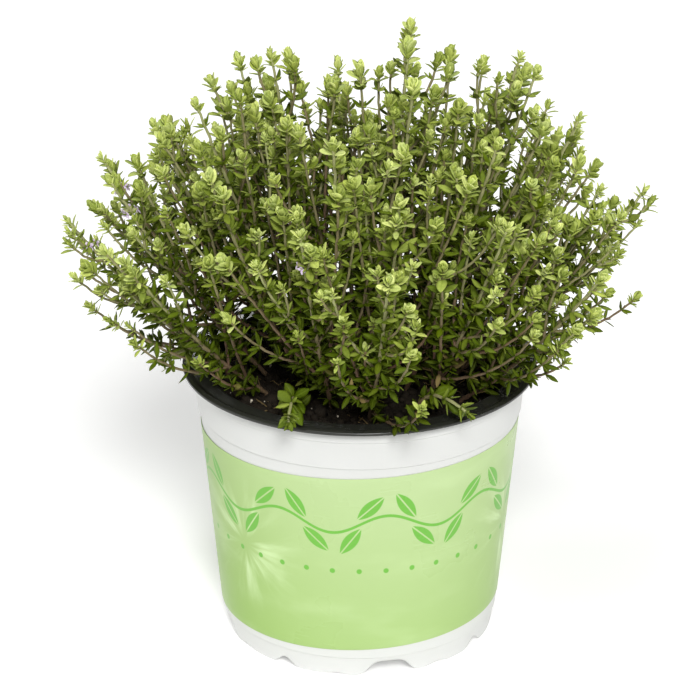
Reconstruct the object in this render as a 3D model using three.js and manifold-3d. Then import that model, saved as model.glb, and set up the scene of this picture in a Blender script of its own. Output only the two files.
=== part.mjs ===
// Potted thyme: a bush of leafy stems growing from potting soil in a black grow pot, which hangs by its
// wide rim in a white cover pot with notched feet and a pale green wrap-round label.
// Units are millimetres, +Z is up, and the origin is on the pots' axis at the level the feet stand on.

import * as THREE from "three";
import { mergeVertices } from "three/addons/utils/BufferGeometryUtils.js";
import Module from "manifold-3d";

const wasm = await Module();
wasm.setup();

// Driving dimensions: the pots
const POT_SIDES = 40;
const RIM_TOP = 97;
const RIM_RADIUS = 60;
const RIM_INNER_RADIUS = 51.5;
const SHEET = 0.8; // plastic thickness
const SEAT_GAP = 0.3; // clearance between pieces that rest on each other
const COVER_TOP = 95.3;
const COVER_TOP_RADIUS = 56.75;
const UPPER_BEAD = 91.1; // heights of the three fine steps moulded round the cover pot
const LOWER_BEAD = 81.2;
const FOOT_BEAD = 7.2;
const STEP = 0.45;
const LABEL_TOP = 77.4;
const LABEL_BOTTOM = 10.9;
const LABEL_TOP_RADIUS = 54.1;
const FLOOR = 6.4; // underside of the cover pot's floor
const FOOT_RADIUS = 46.3;
const FOOT_WIDTH = 2.4;
const BASE_RADIUS = 47.3;
const LABEL_THICK = 0.35;
const LABEL_GAP = 0.15;
const GROW_FLOOR = 8.6;
const GROW_FLOOR_RADIUS = 44.4;

// Driving dimensions: the feet. Wide and narrow notches take turns, with a shallow step between them.
const NOTCH_PITCH = 45;
const FIRST_NOTCH = -77.5; // degrees from +X
const WIDE_NOTCH = { top: 10.6, bottom: 17, height: 5.6 };
const NARROW_NOTCH = { top: 2.6, bottom: 7, height: 4 };
const SHALLOW_STEP = { top: 4.4, bottom: 6, height: 1 };
const DRAIN_RADIUS = 3;
const DRAIN_CIRCLE = 34;

// Driving dimensions: the soil
const SOIL_EDGE = 91;
const SOIL_MOUND = 2.5;
const SOIL_SIDES = 24;
const SOIL_RINGS = 4;
const SOIL_BUMP = 0.7;

// Driving dimensions: the plant
const STEMS = 33;
const SPRIGS = [-116, -66, 187, -14, 83]; // azimuths of the short low sprigs that lie over the rim, degrees
const GOLDEN_ANGLE = Math.PI * (3 - Math.sqrt(5));
const FIRST_AZIMUTH = 0.35;
const ROOT_CIRCLE = 43;
const ROOT_DEPTH = 14;
const ROOT_RISE = 0.8; // how far a stem comes straight up out of the soil before it leans
const SPREAD = { left: 100.5, right: 97.5, front: 92, back: 85 }; // from the axis to the furthest stem tips
const BUSH_HEIGHT = 109; // above the rim
const BUSH_LEAN = 0.06; // the share by which it is taller at the front and right
const BUSH_POWER = 0.8; // exponent that squares the dome's shoulders
const SIDE_LIMIT = 73; // degrees from the vertical to the lowest stem tips at the sides
const FRONT_LIMIT = 68; // and at the front and back
const STEM_RADIUS = 0.85;
const STEM_TIP_RADIUS = 0.55;
const STEM_STEPS = 4;
const SHOOT_STEPS = 2;
const SHOOT_ROOT_RADIUS = 0.3; // so thin where it starts, inside its stem
const SHOOT_RADIUS = 0.55;
const SHOOT_TIP_RADIUS = 0.5;
const SHOOT_SHARES = [0.46, 0.6]; // how far up its stem each side shoot starts
const SHOOT_LENGTHS = [32, 18]; // the shortest of each, which grow up to 10 mm longer
const LEAF_LENGTH = 8.4;
const LEAF_WIDTH = 3.5;
const LEAF_DEPTH = 0.8; // between the crease across a leaf and its keel
const LEAF_PAIRS = 5; // on each stem
const LEAVES_FROM = 0.27; // share of the way up a stem to its lowest leaves
const SPRIG_PAIRS = 2;
const SPRIG_LEAVES_FROM = 0.55;
const HEAD_DEPTH = 2.4; // from a shoot's tip down to the bottom of its head
const HEAD_CROWN = 4.4; // and up to the middle of its top
const HEAD_NOTCH = { radius: 1.9, height: 1.6 }; // between the leaves of a head
const HEAD_OUTER = { radius: 3.9, height: 3.4 }; // tips of the outer pair
const HEAD_INNER = { radius: 2.9, height: 5.2 };
const CLEARANCE = 0.3; // between different stems
const SHORTEST_EDGE = 0.005; // that a seam between fused pieces may leave
const BLOOM_STEMS = [17, 20, 22, 30];
const BLOOM_SIZE = 1.6;
const BLOOM_SHARE = 0.88; // how far up its stem a bloom sits

const UP = new THREE.Vector3(0, 0, 1);
const RIM_CENTRE = new THREE.Vector3(0, 0, RIM_TOP);
const radians = THREE.MathUtils.degToRad;

// ---- Solids ----

// Corners that lie together are merged, and the faces that this leaves without area are dropped.
function solidOf(geometry) {
  const bare = geometry.index ? geometry.toNonIndexed() : geometry.clone();
  const position = new THREE.BufferGeometry().setAttribute("position", bare.getAttribute("position"));
  const merged = mergeVertices(position, 1e-4);
  const corners = [];
  for (let i = 0; i < merged.index.count; i += 3) {
    const [a, b, c] = [0, 1, 2].map((k) => merged.index.getX(i + k));
    if (a !== b && b !== c && c !== a) corners.push(a, b, c);
  }
  const mesh = new wasm.Mesh({
    numProp: 3,
    vertProperties: merged.attributes.position.array,
    triVerts: new Uint32Array(corners),
  });
  return new wasm.Manifold(mesh);
}

function geometryOf(solid) {
  const mesh = solid.getMesh();
  const stride = mesh.numProp;
  const points = new Float32Array(mesh.numVert * 3);
  for (let i = 0; i < mesh.numVert; i++) {
    points.set(mesh.vertProperties.subarray(i * stride, i * stride + 3), i * 3);
  }
  const geometry = new THREE.BufferGeometry();
  geometry.setAttribute("position", new THREE.BufferAttribute(points, 3));
  geometry.setIndex(new THREE.BufferAttribute(mesh.triVerts, 1));
  geometry.computeVertexNormals();
  return geometry;
}

// A closed profile of [radius, height] pairs turned round the Z axis, its outer side listed upwards.
function turned(profile, sides) {
  const points = profile.map(([r, z]) => new THREE.Vector2(r, z));
  return solidOf(new THREE.LatheGeometry(points, sides).rotateX(Math.PI / 2));
}

function polyhedron(points, faces) {
  const geometry = new THREE.BufferGeometry();
  geometry.setAttribute(
    "position",
    new THREE.Float32BufferAttribute(faces.flat().flatMap((i) => points[i].toArray()), 3),
  );
  return solidOf(geometry);
}

// ---- Cover pot, label and grow pot ----

// A radial channel of trapezium section under the foot ring, at an azimuth in degrees.
function notch({ top, bottom, height }, azimuth) {
  const section = new THREE.Shape([
    new THREE.Vector2(-bottom / 2, -1),
    new THREE.Vector2(bottom / 2, -1),
    new THREE.Vector2(bottom / 2, 0),
    new THREE.Vector2(top / 2, height),
    new THREE.Vector2(-top / 2, height),
    new THREE.Vector2(-bottom / 2, 0),
  ]);
  const length = FOOT_WIDTH * 4;
  const channel = new THREE.ExtrudeGeometry(section, { depth: length, bevelEnabled: false });
  channel.rotateX(Math.PI / 2).translate(0, FOOT_RADIUS + FOOT_WIDTH, 0);
  return solidOf(channel.rotateZ(radians(azimuth - 90)));
}

// A drain hole through a floor, at an azimuth in degrees on a circle round the axis.
function drain(azimuth, circle, bottom, height) {
  const hole = new THREE.CylinderGeometry(DRAIN_RADIUS, DRAIN_RADIUS, height, 6).rotateX(Math.PI / 2);
  return solidOf(hole.translate(circle, 0, bottom + height / 2).rotateZ(radians(azimuth)));
}

function coverPot() {
  const footInner = FOOT_RADIUS - FOOT_WIDTH;
  let pot = turned(
    [
      [0, FLOOR],
      [footInner, FLOOR],
      [footInner, 0],
      [FOOT_RADIUS, 0],
      [BASE_RADIUS, FOOT_BEAD],
      [BASE_RADIUS + STEP, FOOT_BEAD],
      [LABEL_TOP_RADIUS, LABEL_TOP],
      [LABEL_TOP_RADIUS + 0.6, LOWER_BEAD],
      [LABEL_TOP_RADIUS + 0.6 + STEP, LOWER_BEAD],
      [COVER_TOP_RADIUS - 0.35 - STEP, UPPER_BEAD],
      [COVER_TOP_RADIUS - 0.35, UPPER_BEAD],
      [COVER_TOP_RADIUS, COVER_TOP],
      [COVER_TOP_RADIUS - SHEET, COVER_TOP],
      [LABEL_TOP_RADIUS - SHEET, LABEL_TOP],
      [BASE_RADIUS - SHEET, FLOOR + SHEET * 2],
      [BASE_RADIUS - SHEET * 2, FLOOR + SHEET],
      [0, FLOOR + SHEET],
    ],
    POT_SIDES,
  );
  for (let i = 0; i < 360 / NOTCH_PITCH; i++) {
    const azimuth = FIRST_NOTCH + i * NOTCH_PITCH;
    pot = pot.subtract(notch(i % 2 ? NARROW_NOTCH : WIDE_NOTCH, azimuth));
    pot = pot.subtract(notch(SHALLOW_STEP, azimuth + NOTCH_PITCH / 2));
    pot = pot.subtract(drain(azimuth, DRAIN_CIRCLE, FLOOR - 1, SHEET + 2));
  }
  return pot;
}

function label() {
  const slope = (LABEL_TOP_RADIUS - BASE_RADIUS - STEP) / (LABEL_TOP - FOOT_BEAD);
  const inner = (z) => BASE_RADIUS + STEP + (z - FOOT_BEAD) * slope + LABEL_GAP;
  return turned(
    [
      [inner(LABEL_BOTTOM), LABEL_BOTTOM],
      [inner(LABEL_BOTTOM) + LABEL_THICK, LABEL_BOTTOM],
      [inner(LABEL_TOP) + LABEL_THICK, LABEL_TOP],
      [inner(LABEL_TOP), LABEL_TOP],
      [inner(LABEL_BOTTOM), LABEL_BOTTOM],
    ],
    POT_SIDES,
  );
}

function growPot() {
  const flange = COVER_TOP + SEAT_GAP; // underside of the flange, just clear of the cover pot's top edge
  let pot = turned(
    [
      [0, GROW_FLOOR],
      [GROW_FLOOR_RADIUS, GROW_FLOOR],
      [RIM_INNER_RADIUS + SHEET, flange - 1],
      [RIM_INNER_RADIUS + SHEET + 0.4, flange],
      [RIM_RADIUS - 1, flange],
      [RIM_RADIUS - 0.8, flange - 0.2],
      [RIM_RADIUS, flange - 0.2],
      [RIM_RADIUS, RIM_TOP - 0.6],
      [RIM_RADIUS - 1.4, RIM_TOP],
      [RIM_RADIUS - 2.8, flange + SHEET],
      [RIM_INNER_RADIUS + 1, flange + SHEET],
      [RIM_INNER_RADIUS, flange],
      [GROW_FLOOR_RADIUS - SHEET, GROW_FLOOR + SHEET],
      [0, GROW_FLOOR + SHEET],
    ],
    POT_SIDES,
  );
  for (let i = 0; i < 4; i++) {
    pot = pot.subtract(drain(i * 90, DRAIN_CIRCLE * 0.7, GROW_FLOOR - 1, SHEET + 2));
  }
  return pot;
}

// ---- Soil ----

// Height of the soil's top at a point: a low mound with crumbs drawn by crossed waves.
function soilHeight(x, y) {
  const r = Math.hypot(x, y) / RIM_INNER_RADIUS;
  const crumbs = Math.sin(x * 0.61 + y * 0.23) * Math.cos(y * 0.57 - x * 0.19);
  return SOIL_EDGE + SOIL_MOUND * (1 - r * r) + SOIL_BUMP * crumbs;
}

// The inside of the grow pot, less the seat gap, up to the soil's uneven top.
function soilBody() {
  const foot = GROW_FLOOR_RADIUS - SHEET - SEAT_GAP;
  const bottom = GROW_FLOOR + SHEET + SEAT_GAP;
  const taper = (RIM_INNER_RADIUS - GROW_FLOOR_RADIUS + SHEET) / (COVER_TOP + SEAT_GAP - bottom);
  const edge = foot + (SOIL_EDGE - bottom) * taper;
  const rows = [[new THREE.Vector3(0, 0, bottom)]];
  const ring = (radius, height) =>
    Array.from({ length: SOIL_SIDES }, (_, i) => {
      const a = (i / SOIL_SIDES) * 2 * Math.PI;
      const [x, y] = [radius * Math.cos(a), radius * Math.sin(a)];
      return new THREE.Vector3(x, y, height ?? soilHeight(x, y));
    });
  rows.push(ring(foot, bottom));
  for (let i = 0; i < SOIL_RINGS; i++) rows.push(ring(edge * (1 - i / SOIL_RINGS)));
  rows.push([new THREE.Vector3(0, 0, soilHeight(0, 0))]);
  return bridged(rows);
}

// Rings of points joined by triangles, each ring the same length or a single point.
function bridged(rows) {
  const points = rows.flat();
  const starts = rows.map((_, i) => rows.slice(0, i).reduce((sum, row) => sum + row.length, 0));
  const sides = Math.max(...rows.map((row) => row.length));
  const at = (row, k) => starts[row] + (rows[row].length === 1 ? 0 : k % sides);
  const faces = [];
  for (let row = 0; row + 1 < rows.length; row++) {
    for (let k = 0; k < sides; k++) {
      const [a, b, c, d] = [at(row, k), at(row, k + 1), at(row + 1, k + 1), at(row + 1, k)];
      if (a !== b) faces.push([a, b, c]);
      if (c !== d) faces.push([a, c, d]);
    }
  }
  return polyhedron(points, faces);
}

function stemHole(root) {
  const radius = (STEM_RADIUS + SEAT_GAP) / Math.cos(Math.PI / 5);
  const height = ROOT_DEPTH + SEAT_GAP + 6;
  const hole = new THREE.CylinderGeometry(radius, radius, height, 5).rotateX(Math.PI / 2);
  return solidOf(hole.translate(root.x, root.y, root.z - ROOT_DEPTH - SEAT_GAP + height / 2));
}

// ---- Where the stems go ----

// A repeatable draw between 0 and 1 for item i and purpose k.
function draw(i, k) {
  const wave = Math.sin(i * 12.9898 + k * 78.233) * 43758.5453;
  return wave - Math.floor(wave);
}

const around = (azimuth, radius, z) =>
  new THREE.Vector3(radius * Math.cos(azimuth), radius * Math.sin(azimuth), z);

// The bush's outer surface, from its crown at share 0 to its lowest tips at share 1.
function bushPoint(azimuth, share) {
  const [across, away] = [Math.cos(azimuth), Math.sin(azimuth)];
  const limit = FRONT_LIMIT + (SIDE_LIMIT - FRONT_LIMIT) * across ** 2;
  const polar = radians(limit * Math.max(share, 0));
  const out = Math.sin(polar) ** BUSH_POWER;
  const lean = 1 + BUSH_LEAN * out * (across - away);
  return new THREE.Vector3(
    out * across * (across > 0 ? SPREAD.right : SPREAD.left),
    out * away * (away > 0 ? SPREAD.back : SPREAD.front),
    RIM_TOP + BUSH_HEIGHT * Math.cos(polar) ** BUSH_POWER * lean,
  );
}

// A stem's centre line: from its root straight up out of the soil, then in one slow bend out to its tip.
function stemPath(i) {
  const share = Math.sqrt((i + 0.5) / STEMS);
  const azimuth = FIRST_AZIMUTH + i * GOLDEN_ANGLE + 0.2 * (draw(i, 1) - 0.5);
  const root = around(azimuth, ROOT_CIRCLE * share, 0);
  root.z = soilHeight(root.x, root.y) + ROOT_RISE;
  const tip = bushPoint(azimuth + 0.16 * (draw(i, 4) - 0.5), share + 0.08 * (draw(i, 2) - 0.5));
  tip.sub(RIM_CENTRE).multiplyScalar(1 + 0.08 * (draw(i, 3) - 0.5)).add(RIM_CENTRE);
  const middle = root.clone().lerp(tip, 0.52);
  middle.z -= (tip.z - root.z) * (0.02 + 0.14 * share);
  return { root, curve: new THREE.QuadraticBezierCurve3(root, middle, tip) };
}

// A short sprig from near the wall, up over the rim and out.
function sprigPath(k) {
  const azimuth = radians(SPRIGS[k]);
  const root = around(azimuth, ROOT_CIRCLE + 1.5, 0);
  root.z = soilHeight(root.x, root.y) + ROOT_RISE;
  const middle = around(azimuth, ROOT_CIRCLE + 6, RIM_TOP + 13);
  const tip = around(azimuth + 0.12, RIM_RADIUS + 6 + 3 * draw(k, 9), RIM_TOP + 6);
  return { root, curve: new THREE.QuadraticBezierCurve3(root, middle, tip) };
}

// The place and direction at share u of the way along a row of points.
function spotOn(points, u) {
  const steps = points.length - 1;
  const k = Math.min(Math.floor(u * steps), steps - 1);
  const at = points[k].clone().lerp(points[k + 1], u * steps - k);
  return { at, along: points[k + 1].clone().sub(points[k]).normalize() };
}

// A side shoot leaves its stem at share u of the way up, turned round it by an angle, and bends up beside it.
function shootPoints(points, u, turn, length) {
  const { at, along } = spotOn(points, u);
  const out = sideways(along, turn);
  const middle = at.clone().addScaledVector(along, length * 0.32).addScaledVector(out, length * 0.3);
  const end = at.clone().addScaledVector(along, length * 0.8).addScaledVector(out, length * 0.42);
  end.z += length * 0.12;
  return new THREE.QuadraticBezierCurve3(at, middle, end).getPoints(SHOOT_STEPS);
}

// A unit vector square to a direction, turned round it by an angle from the X axis.
function sideways(along, turn) {
  const side = new THREE.Vector3(1, 0, 0).addScaledVector(along, -along.x).normalize();
  return side.applyAxisAngle(along, turn);
}

// ---- Leaves and wood ----

// Thyme wood is square in section. The turn is that of the middle of one of its sides.
function taperedTube(points, radii, turn) {
  const rows = points.map((p, i) => {
    const next = points[Math.min(i + 1, points.length - 1)];
    const last = points[Math.max(i - 1, 0)];
    const along = next.clone().sub(last).normalize();
    return [45, 135, 225, 315].map((corner) => {
      const side = sideways(along, turn + radians(corner));
      return p.clone().addScaledVector(side, radii[i]);
    });
  });
  return bridged([[points[0]], ...rows, [points[points.length - 1]]]);
}

// Where a leaf sits: its root, the directions of its tip, side and upper face, and its [length, width].
function leafFrame(at, along, out, lean, [length, width]) {
  const ahead = along.clone().multiplyScalar(Math.cos(lean)).addScaledVector(out, Math.sin(lean));
  const upper = along.clone().multiplyScalar(Math.sin(lean)).addScaledVector(out, -Math.cos(lean));
  return { at, ahead, upper, side: new THREE.Vector3().crossVectors(ahead, upper), length, width };
}

// A diamond blade: a crease across its upper face at the widest place, and a keel from root to tip below.
function leafSolid({ at, ahead, upper, side, length, width }) {
  const place = (l, s, u) =>
    at.clone().addScaledVector(ahead, l).addScaledVector(side, s).addScaledVector(upper, u);
  const points = [
    at,
    place(length * 0.55, width / 2, LEAF_DEPTH),
    place(length * 0.55, -width / 2, LEAF_DEPTH),
    place(length, 0, 0),
  ];
  return polyhedron(points, [
    [0, 1, 2],
    [2, 1, 3],
    [0, 3, 1],
    [0, 2, 3],
  ]);
}

// The close head of four broad leaves, two outer and two inner, that cups the growing tip of a shoot.
function headFrame({ at, along }, turn, size) {
  const place = (angle, radius, height) =>
    at
      .clone()
      .addScaledVector(along, height * size)
      .addScaledVector(sideways(along, turn + radians(angle)), radius * size);
  const tips = [HEAD_OUTER, HEAD_INNER, HEAD_OUTER, HEAD_INNER].map((leaf, k) =>
    place(90 * k, leaf.radius, leaf.height),
  );
  return { place, tips };
}

function headSolid({ place, tips }) {
  const points = [place(0, 0, -HEAD_DEPTH), place(0, 0, HEAD_CROWN)];
  tips.forEach((tip, k) => points.push(tip, place(45 + 90 * k, HEAD_NOTCH.radius, HEAD_NOTCH.height)));
  const faces = [];
  for (let k = 0; k < 8; k++) {
    const [a, b] = [2 + k, 2 + ((k + 1) % 8)];
    faces.push([0, b, a], [1, a, b]);
  }
  return polyhedron(points, faces);
}

// A small two-lipped flower, as an eight-sided bead with a long lower lip.
function bloomSolid(at, along, out) {
  const place = (l, o) => at.clone().addScaledVector(along, l).addScaledVector(out, o);
  const side = new THREE.Vector3().crossVectors(along, out).multiplyScalar(BLOOM_SIZE * 0.7);
  const middle = place(0, BLOOM_SIZE * 1.2);
  return polyhedron(
    [
      place(0, -0.1),
      place(-0.4, BLOOM_SIZE * 2.2),
      middle.clone().add(side),
      middle.clone().sub(side),
      place(BLOOM_SIZE * 0.7, BLOOM_SIZE * 1.3),
      place(-BLOOM_SIZE * 0.6, BLOOM_SIZE * 1.3),
    ],
    [
      [0, 4, 2],
      [2, 4, 1],
      [1, 4, 3],
      [3, 4, 0],
      [2, 5, 0],
      [1, 5, 2],
      [3, 5, 1],
      [0, 5, 3],
    ],
  );
}

// ---- Keeping the stems clear of each other ----

const taken = []; // rods that stand for the wood and leaves already placed, each with its stem's number

function rodsTouch(a, b) {
  const u = a.to.clone().sub(a.from);
  const v = b.to.clone().sub(b.from);
  const w = a.from.clone().sub(b.from);
  const [uu, uv, vv, uw, vw] = [u.dot(u), u.dot(v), v.dot(v), u.dot(w), v.dot(w)];
  const bottom = uu * vv - uv * uv;
  let s = bottom > 1e-9 ? THREE.MathUtils.clamp((uv * vw - vv * uw) / bottom, 0, 1) : 0;
  const t = THREE.MathUtils.clamp((uv * s + vw) / vv, 0, 1);
  s = THREE.MathUtils.clamp((uv * t - uw) / uu, 0, 1);
  const between = w.addScaledVector(u, s).addScaledVector(v, -t);
  return between.length() < a.radius + b.radius + CLEARANCE;
}

function isClear(rod) {
  return clearOfPot(rod) && taken.every((other) => other.stem === rod.stem || !rodsTouch(rod, other));
}

// Over the rim a rod has to stay above it, and over the soil above the crumbs.
function clearOfPot(rod) {
  for (const share of [0, 0.5, 1]) {
    const p = rod.from.clone().lerp(rod.to, share);
    const radius = Math.hypot(p.x, p.y);
    const floor = radius > RIM_INNER_RADIUS - 3 ? RIM_TOP : soilHeight(p.x, p.y) + 1;
    if (radius < RIM_RADIUS + 3 && p.z - rod.radius < floor + CLEARANCE) return false;
  }
  return true;
}

function rodsAlong(points, radii, stem) {
  return points.slice(1).map((to, i) => ({ from: points[i], to, radius: radii[i], stem }));
}

// ---- One leafy stem ----

function taper(steps, from, to) {
  return Array.from({ length: steps + 1 }, (_, i) => from + ((to - from) * i) / steps);
}

// Fuses a piece into its stem, unless the seam between them would have an edge too short to keep.
function fuse(stem, piece) {
  const fused = stem.solid.add(piece);
  const { vertProperties, triVerts, numProp } = fused.getMesh();
  const corner = (i) => new THREE.Vector3().fromArray(vertProperties, triVerts[i] * numProp);
  for (let i = 0; i < triVerts.length; i++) {
    const next = i % 3 === 2 ? i - 2 : i + 1;
    if (corner(i).distanceTo(corner(next)) < SHORTEST_EDGE) return false;
  }
  stem.solid = fused;
  return true;
}

function growWood(stem) {
  const points = stem.curve.getPoints(STEM_STEPS);
  const radii = taper(STEM_STEPS, STEM_RADIUS, STEM_TIP_RADIUS);
  const foot = stem.root.clone().addScaledVector(UP, -ROOT_DEPTH);
  taken.push(...rodsAlong(points, radii, stem.number));
  stem.solid = taperedTube([foot, ...points], [STEM_RADIUS * 0.7, ...radii], stem.turn);
  stem.shoots = [{ points, size: 1 }];
}

// Tries a side shoot at a few turns round its stem and keeps the first that is clear, if any.
function growShoot(stem, u, turn, length) {
  const radii = [SHOOT_ROOT_RADIUS, ...taper(SHOOT_STEPS - 1, SHOOT_RADIUS, SHOOT_TIP_RADIUS)];
  const roomy = radii.map((r) => r + 1);
  for (const change of [0, 0.4, -0.4, 0.8, -0.8, 1.6, -1.6]) {
    const points = shootPoints(stem.shoots[0].points, u, turn + change, length);
    if (!rodsAlong(points, roomy, stem.number).every(isClear)) continue;
    if (!fuse(stem, taperedTube(points, radii, turn))) continue;
    taken.push(...rodsAlong(points, radii, stem.number));
    stem.shoots.push({ points, size: 0.85 });
    return;
  }
}

function growShoots(stem) {
  for (const [k, u] of SHOOT_SHARES.entries()) {
    const length = SHOOT_LENGTHS[k] + 10 * draw(stem.number, 6 + k);
    growShoot(stem, u, stem.turn + k * Math.PI, length);
  }
}

// The two rods that stand for a leaf: its broad middle, and its thin middle line out to the tip.
function leafRods({ at, ahead, length, width }, stem) {
  const along = (share) => at.clone().addScaledVector(ahead, length * share);
  return [
    { from: along(0.25), to: along(0.85), radius: width * 0.42, stem },
    { from: at, to: along(1), radius: 0.6, stem },
  ];
}

// Tries a leaf at a few turns round its shoot and keeps the first that is clear, if any.
function growLeaf(stem, { at, along }, turn, lean, size) {
  for (const change of [0, 0.35, -0.35, 0.7, -0.7]) {
    const frame = leafFrame(at, along, sideways(along, turn + change), lean, size);
    const rods = leafRods(frame, stem.number);
    if (rods.every(isClear) && fuse(stem, leafSolid(frame))) {
      taken.push(...rods);
      return;
    }
  }
}

// Leaves in opposite pairs, each pair square to the last.
function growLeaves(stem) {
  const pairs = stem.isSprig ? SPRIG_PAIRS : LEAF_PAIRS;
  const first = stem.isSprig ? SPRIG_LEAVES_FROM : LEAVES_FROM;
  for (let k = 0; k < pairs; k++) {
    const u = first + ((0.93 - first) * k) / pairs;
    const scale = 0.85 + 0.3 * draw(stem.number, 20 + k);
    const size = [LEAF_LENGTH * scale, LEAF_WIDTH * scale];
    for (const side of [1, 3]) {
      const turn = stem.turn + ((k + side) * Math.PI) / 2;
      growLeaf(stem, spotOn(stem.shoots[0].points, u), turn, radians(58 - 14 * u), size);
    }
  }
}

// Tries a head at a few turns and sizes, and keeps the first that is clear.
function growHead(stem, { points, size }) {
  const { along } = spotOn(points, 1);
  const from = points.at(-1);
  for (const share of [1, 0.8, 0.6]) {
    for (const change of [0, 0.4, 0.8, 1.2]) {
      const frame = headFrame({ at: from, along }, stem.turn + change, size * share);
      const rods = frame.tips.map((to) => ({ from, to, radius: share * 1.4, stem: stem.number }));
      if (rods.every(isClear) && fuse(stem, headSolid(frame))) {
        taken.push(...rods);
        return;
      }
    }
  }
}

function growBloom(stem) {
  const { at, along } = spotOn(stem.shoots[0].points, BLOOM_SHARE);
  fuse(stem, bloomSolid(at, along, sideways(along, stem.turn)));
}

// All the wood is placed first and then the heads, so that no leaf stands in their way.
function growStems() {
  const stems = [];
  for (let i = 0; i < STEMS; i++) {
    stems.push({ name: `thyme_stem_${String(i + 1).padStart(2, "0")}`, ...stemPath(i) });
  }
  SPRIGS.forEach((_, k) => stems.push({ name: `rim_sprig_${k + 1}`, isSprig: true, ...sprigPath(k) }));
  stems.forEach((stem, number) => Object.assign(stem, { number, turn: draw(number, 5) * Math.PI }));
  stems.forEach(growWood);
  stems.filter((stem) => !stem.isSprig).forEach(growShoots);
  stems.forEach((stem) => stem.shoots.forEach((shoot) => growHead(stem, shoot)));
  stems.forEach(growLeaves);
  BLOOM_STEMS.forEach((number) => growBloom(stems[number]));
  return stems;
}

// ---- The object ----

const material = (hex, roughness) => new THREE.MeshStandardMaterial({ color: hex, roughness, metalness: 0 });
const WHITE_PLASTIC = material(0xf0f1ee, 0.35);
const BLACK_PLASTIC = material(0x151615, 0.32);
const GREEN_FILM = material(0xbfe18f, 0.3);
const SOIL = material(0x1e1712, 0.95);
const FOLIAGE = material(0x6f8f35, 0.6);

function named(name, solid, look) {
  const mesh = new THREE.Mesh(geometryOf(solid), look);
  mesh.name = name;
  return mesh;
}

const pottedThyme = new THREE.Group();
const stems = growStems();
const soil = stems.reduce((body, stem) => body.subtract(stemHole(stem.root)), soilBody());
pottedThyme.add(named("cover_pot", coverPot(), WHITE_PLASTIC));
pottedThyme.add(named("label", label(), GREEN_FILM));
pottedThyme.add(named("grow_pot", growPot(), BLACK_PLASTIC));
pottedThyme.add(named("soil", soil, SOIL));
for (const stem of stems) pottedThyme.add(named(stem.name, stem.solid, FOLIAGE));

export default pottedThyme;
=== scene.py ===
"""Potted thyme, laid out as a Blender add-on.

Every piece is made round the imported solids, in their frame and in metres: a moulded white cover pot with
its printed film, a black grow pot with potting soil, and the leafy stems, each on the lines of its solid.
"""

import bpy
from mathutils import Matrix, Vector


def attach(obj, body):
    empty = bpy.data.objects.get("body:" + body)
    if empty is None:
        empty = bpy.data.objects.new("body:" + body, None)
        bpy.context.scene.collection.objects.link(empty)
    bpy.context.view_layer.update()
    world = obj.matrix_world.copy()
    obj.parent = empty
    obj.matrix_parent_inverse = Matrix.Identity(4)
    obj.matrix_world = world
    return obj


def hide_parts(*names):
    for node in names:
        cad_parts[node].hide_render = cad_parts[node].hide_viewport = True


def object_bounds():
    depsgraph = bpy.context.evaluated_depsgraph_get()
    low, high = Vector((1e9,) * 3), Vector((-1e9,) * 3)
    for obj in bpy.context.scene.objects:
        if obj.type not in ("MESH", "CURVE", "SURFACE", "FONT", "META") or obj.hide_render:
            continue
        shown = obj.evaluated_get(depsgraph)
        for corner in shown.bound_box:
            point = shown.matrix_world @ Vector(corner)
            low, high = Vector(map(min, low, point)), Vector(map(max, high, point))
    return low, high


bl_info = {
    "name": "Potted thyme",
    "version": (1, 0, 0),
    "blender": (4, 5, 0),
    "location": "View3D > Sidebar > Thyme",
    "description": "Makes the pots, soil and leafy stems of a thyme plant, and a plain studio for them",
    "category": "Add Mesh",
}

import math

import bpy
import numpy as np
from bpy.props import FloatProperty, FloatVectorProperty, IntProperty, PointerProperty
from mathutils import Vector

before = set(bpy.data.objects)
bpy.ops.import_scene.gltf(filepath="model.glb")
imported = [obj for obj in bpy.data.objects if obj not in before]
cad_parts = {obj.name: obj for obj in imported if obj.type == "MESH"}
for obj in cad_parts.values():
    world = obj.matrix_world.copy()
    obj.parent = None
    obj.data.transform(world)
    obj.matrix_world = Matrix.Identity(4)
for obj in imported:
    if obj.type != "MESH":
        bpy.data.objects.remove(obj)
SOLID_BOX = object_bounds()
LOW_CORNER, HIGH_CORNER = (np.array(corner) for corner in SOLID_BOX)

MM = 0.001

# Sizes of the solids, which the fine pieces share.
RIM_TOP = 97 * MM
RIM_RADIUS = 60 * MM
RIM_INNER_RADIUS = 51.5 * MM
SHEET = 0.8 * MM
COVER_TOP = 95.3 * MM
COVER_TOP_RADIUS = 56.75 * MM
UPPER_BEAD = 91.1 * MM
LOWER_BEAD = 81.2 * MM
FOOT_BEAD = 7.2 * MM
STEP = 0.45 * MM
LABEL_TOP = 77.4 * MM
LABEL_BOTTOM = 10.9 * MM
LABEL_TOP_RADIUS = 54.1 * MM
BELT_RADIUS = LABEL_TOP_RADIUS + 0.6 * MM
COLLAR_RADIUS = COVER_TOP_RADIUS - 0.35 * MM
FLOOR = 6.4 * MM
FOOT_RADIUS = 46.3 * MM
FOOT_WIDTH = 2.4 * MM
BASE_RADIUS = 47.3 * MM
GROW_FLOOR = 8.6 * MM
GROW_FLOOR_RADIUS = 44.4 * MM
FLANGE = 95.6 * MM
FEET = 8
NOTCH_PITCH = 360 / FEET
FIRST_NOTCH = -77.5
WIDE_NOTCH = (10.6 * MM, 17 * MM, 5.6 * MM)  # width at the top, width at the foot, height
NARROW_NOTCH = (2.6 * MM, 7 * MM, 4 * MM)
SHALLOW_STEP = (4.4 * MM, 6 * MM, 1 * MM)
DRAIN_RADIUS = 3 * MM
DRAIN_CIRCLE = 34 * MM
DRAIN_SIDES = 24
DRILL_ROOM = 1 * MM
SOIL_EDGE = 91 * MM
SOIL_MOUND = 2.5 * MM
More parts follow.
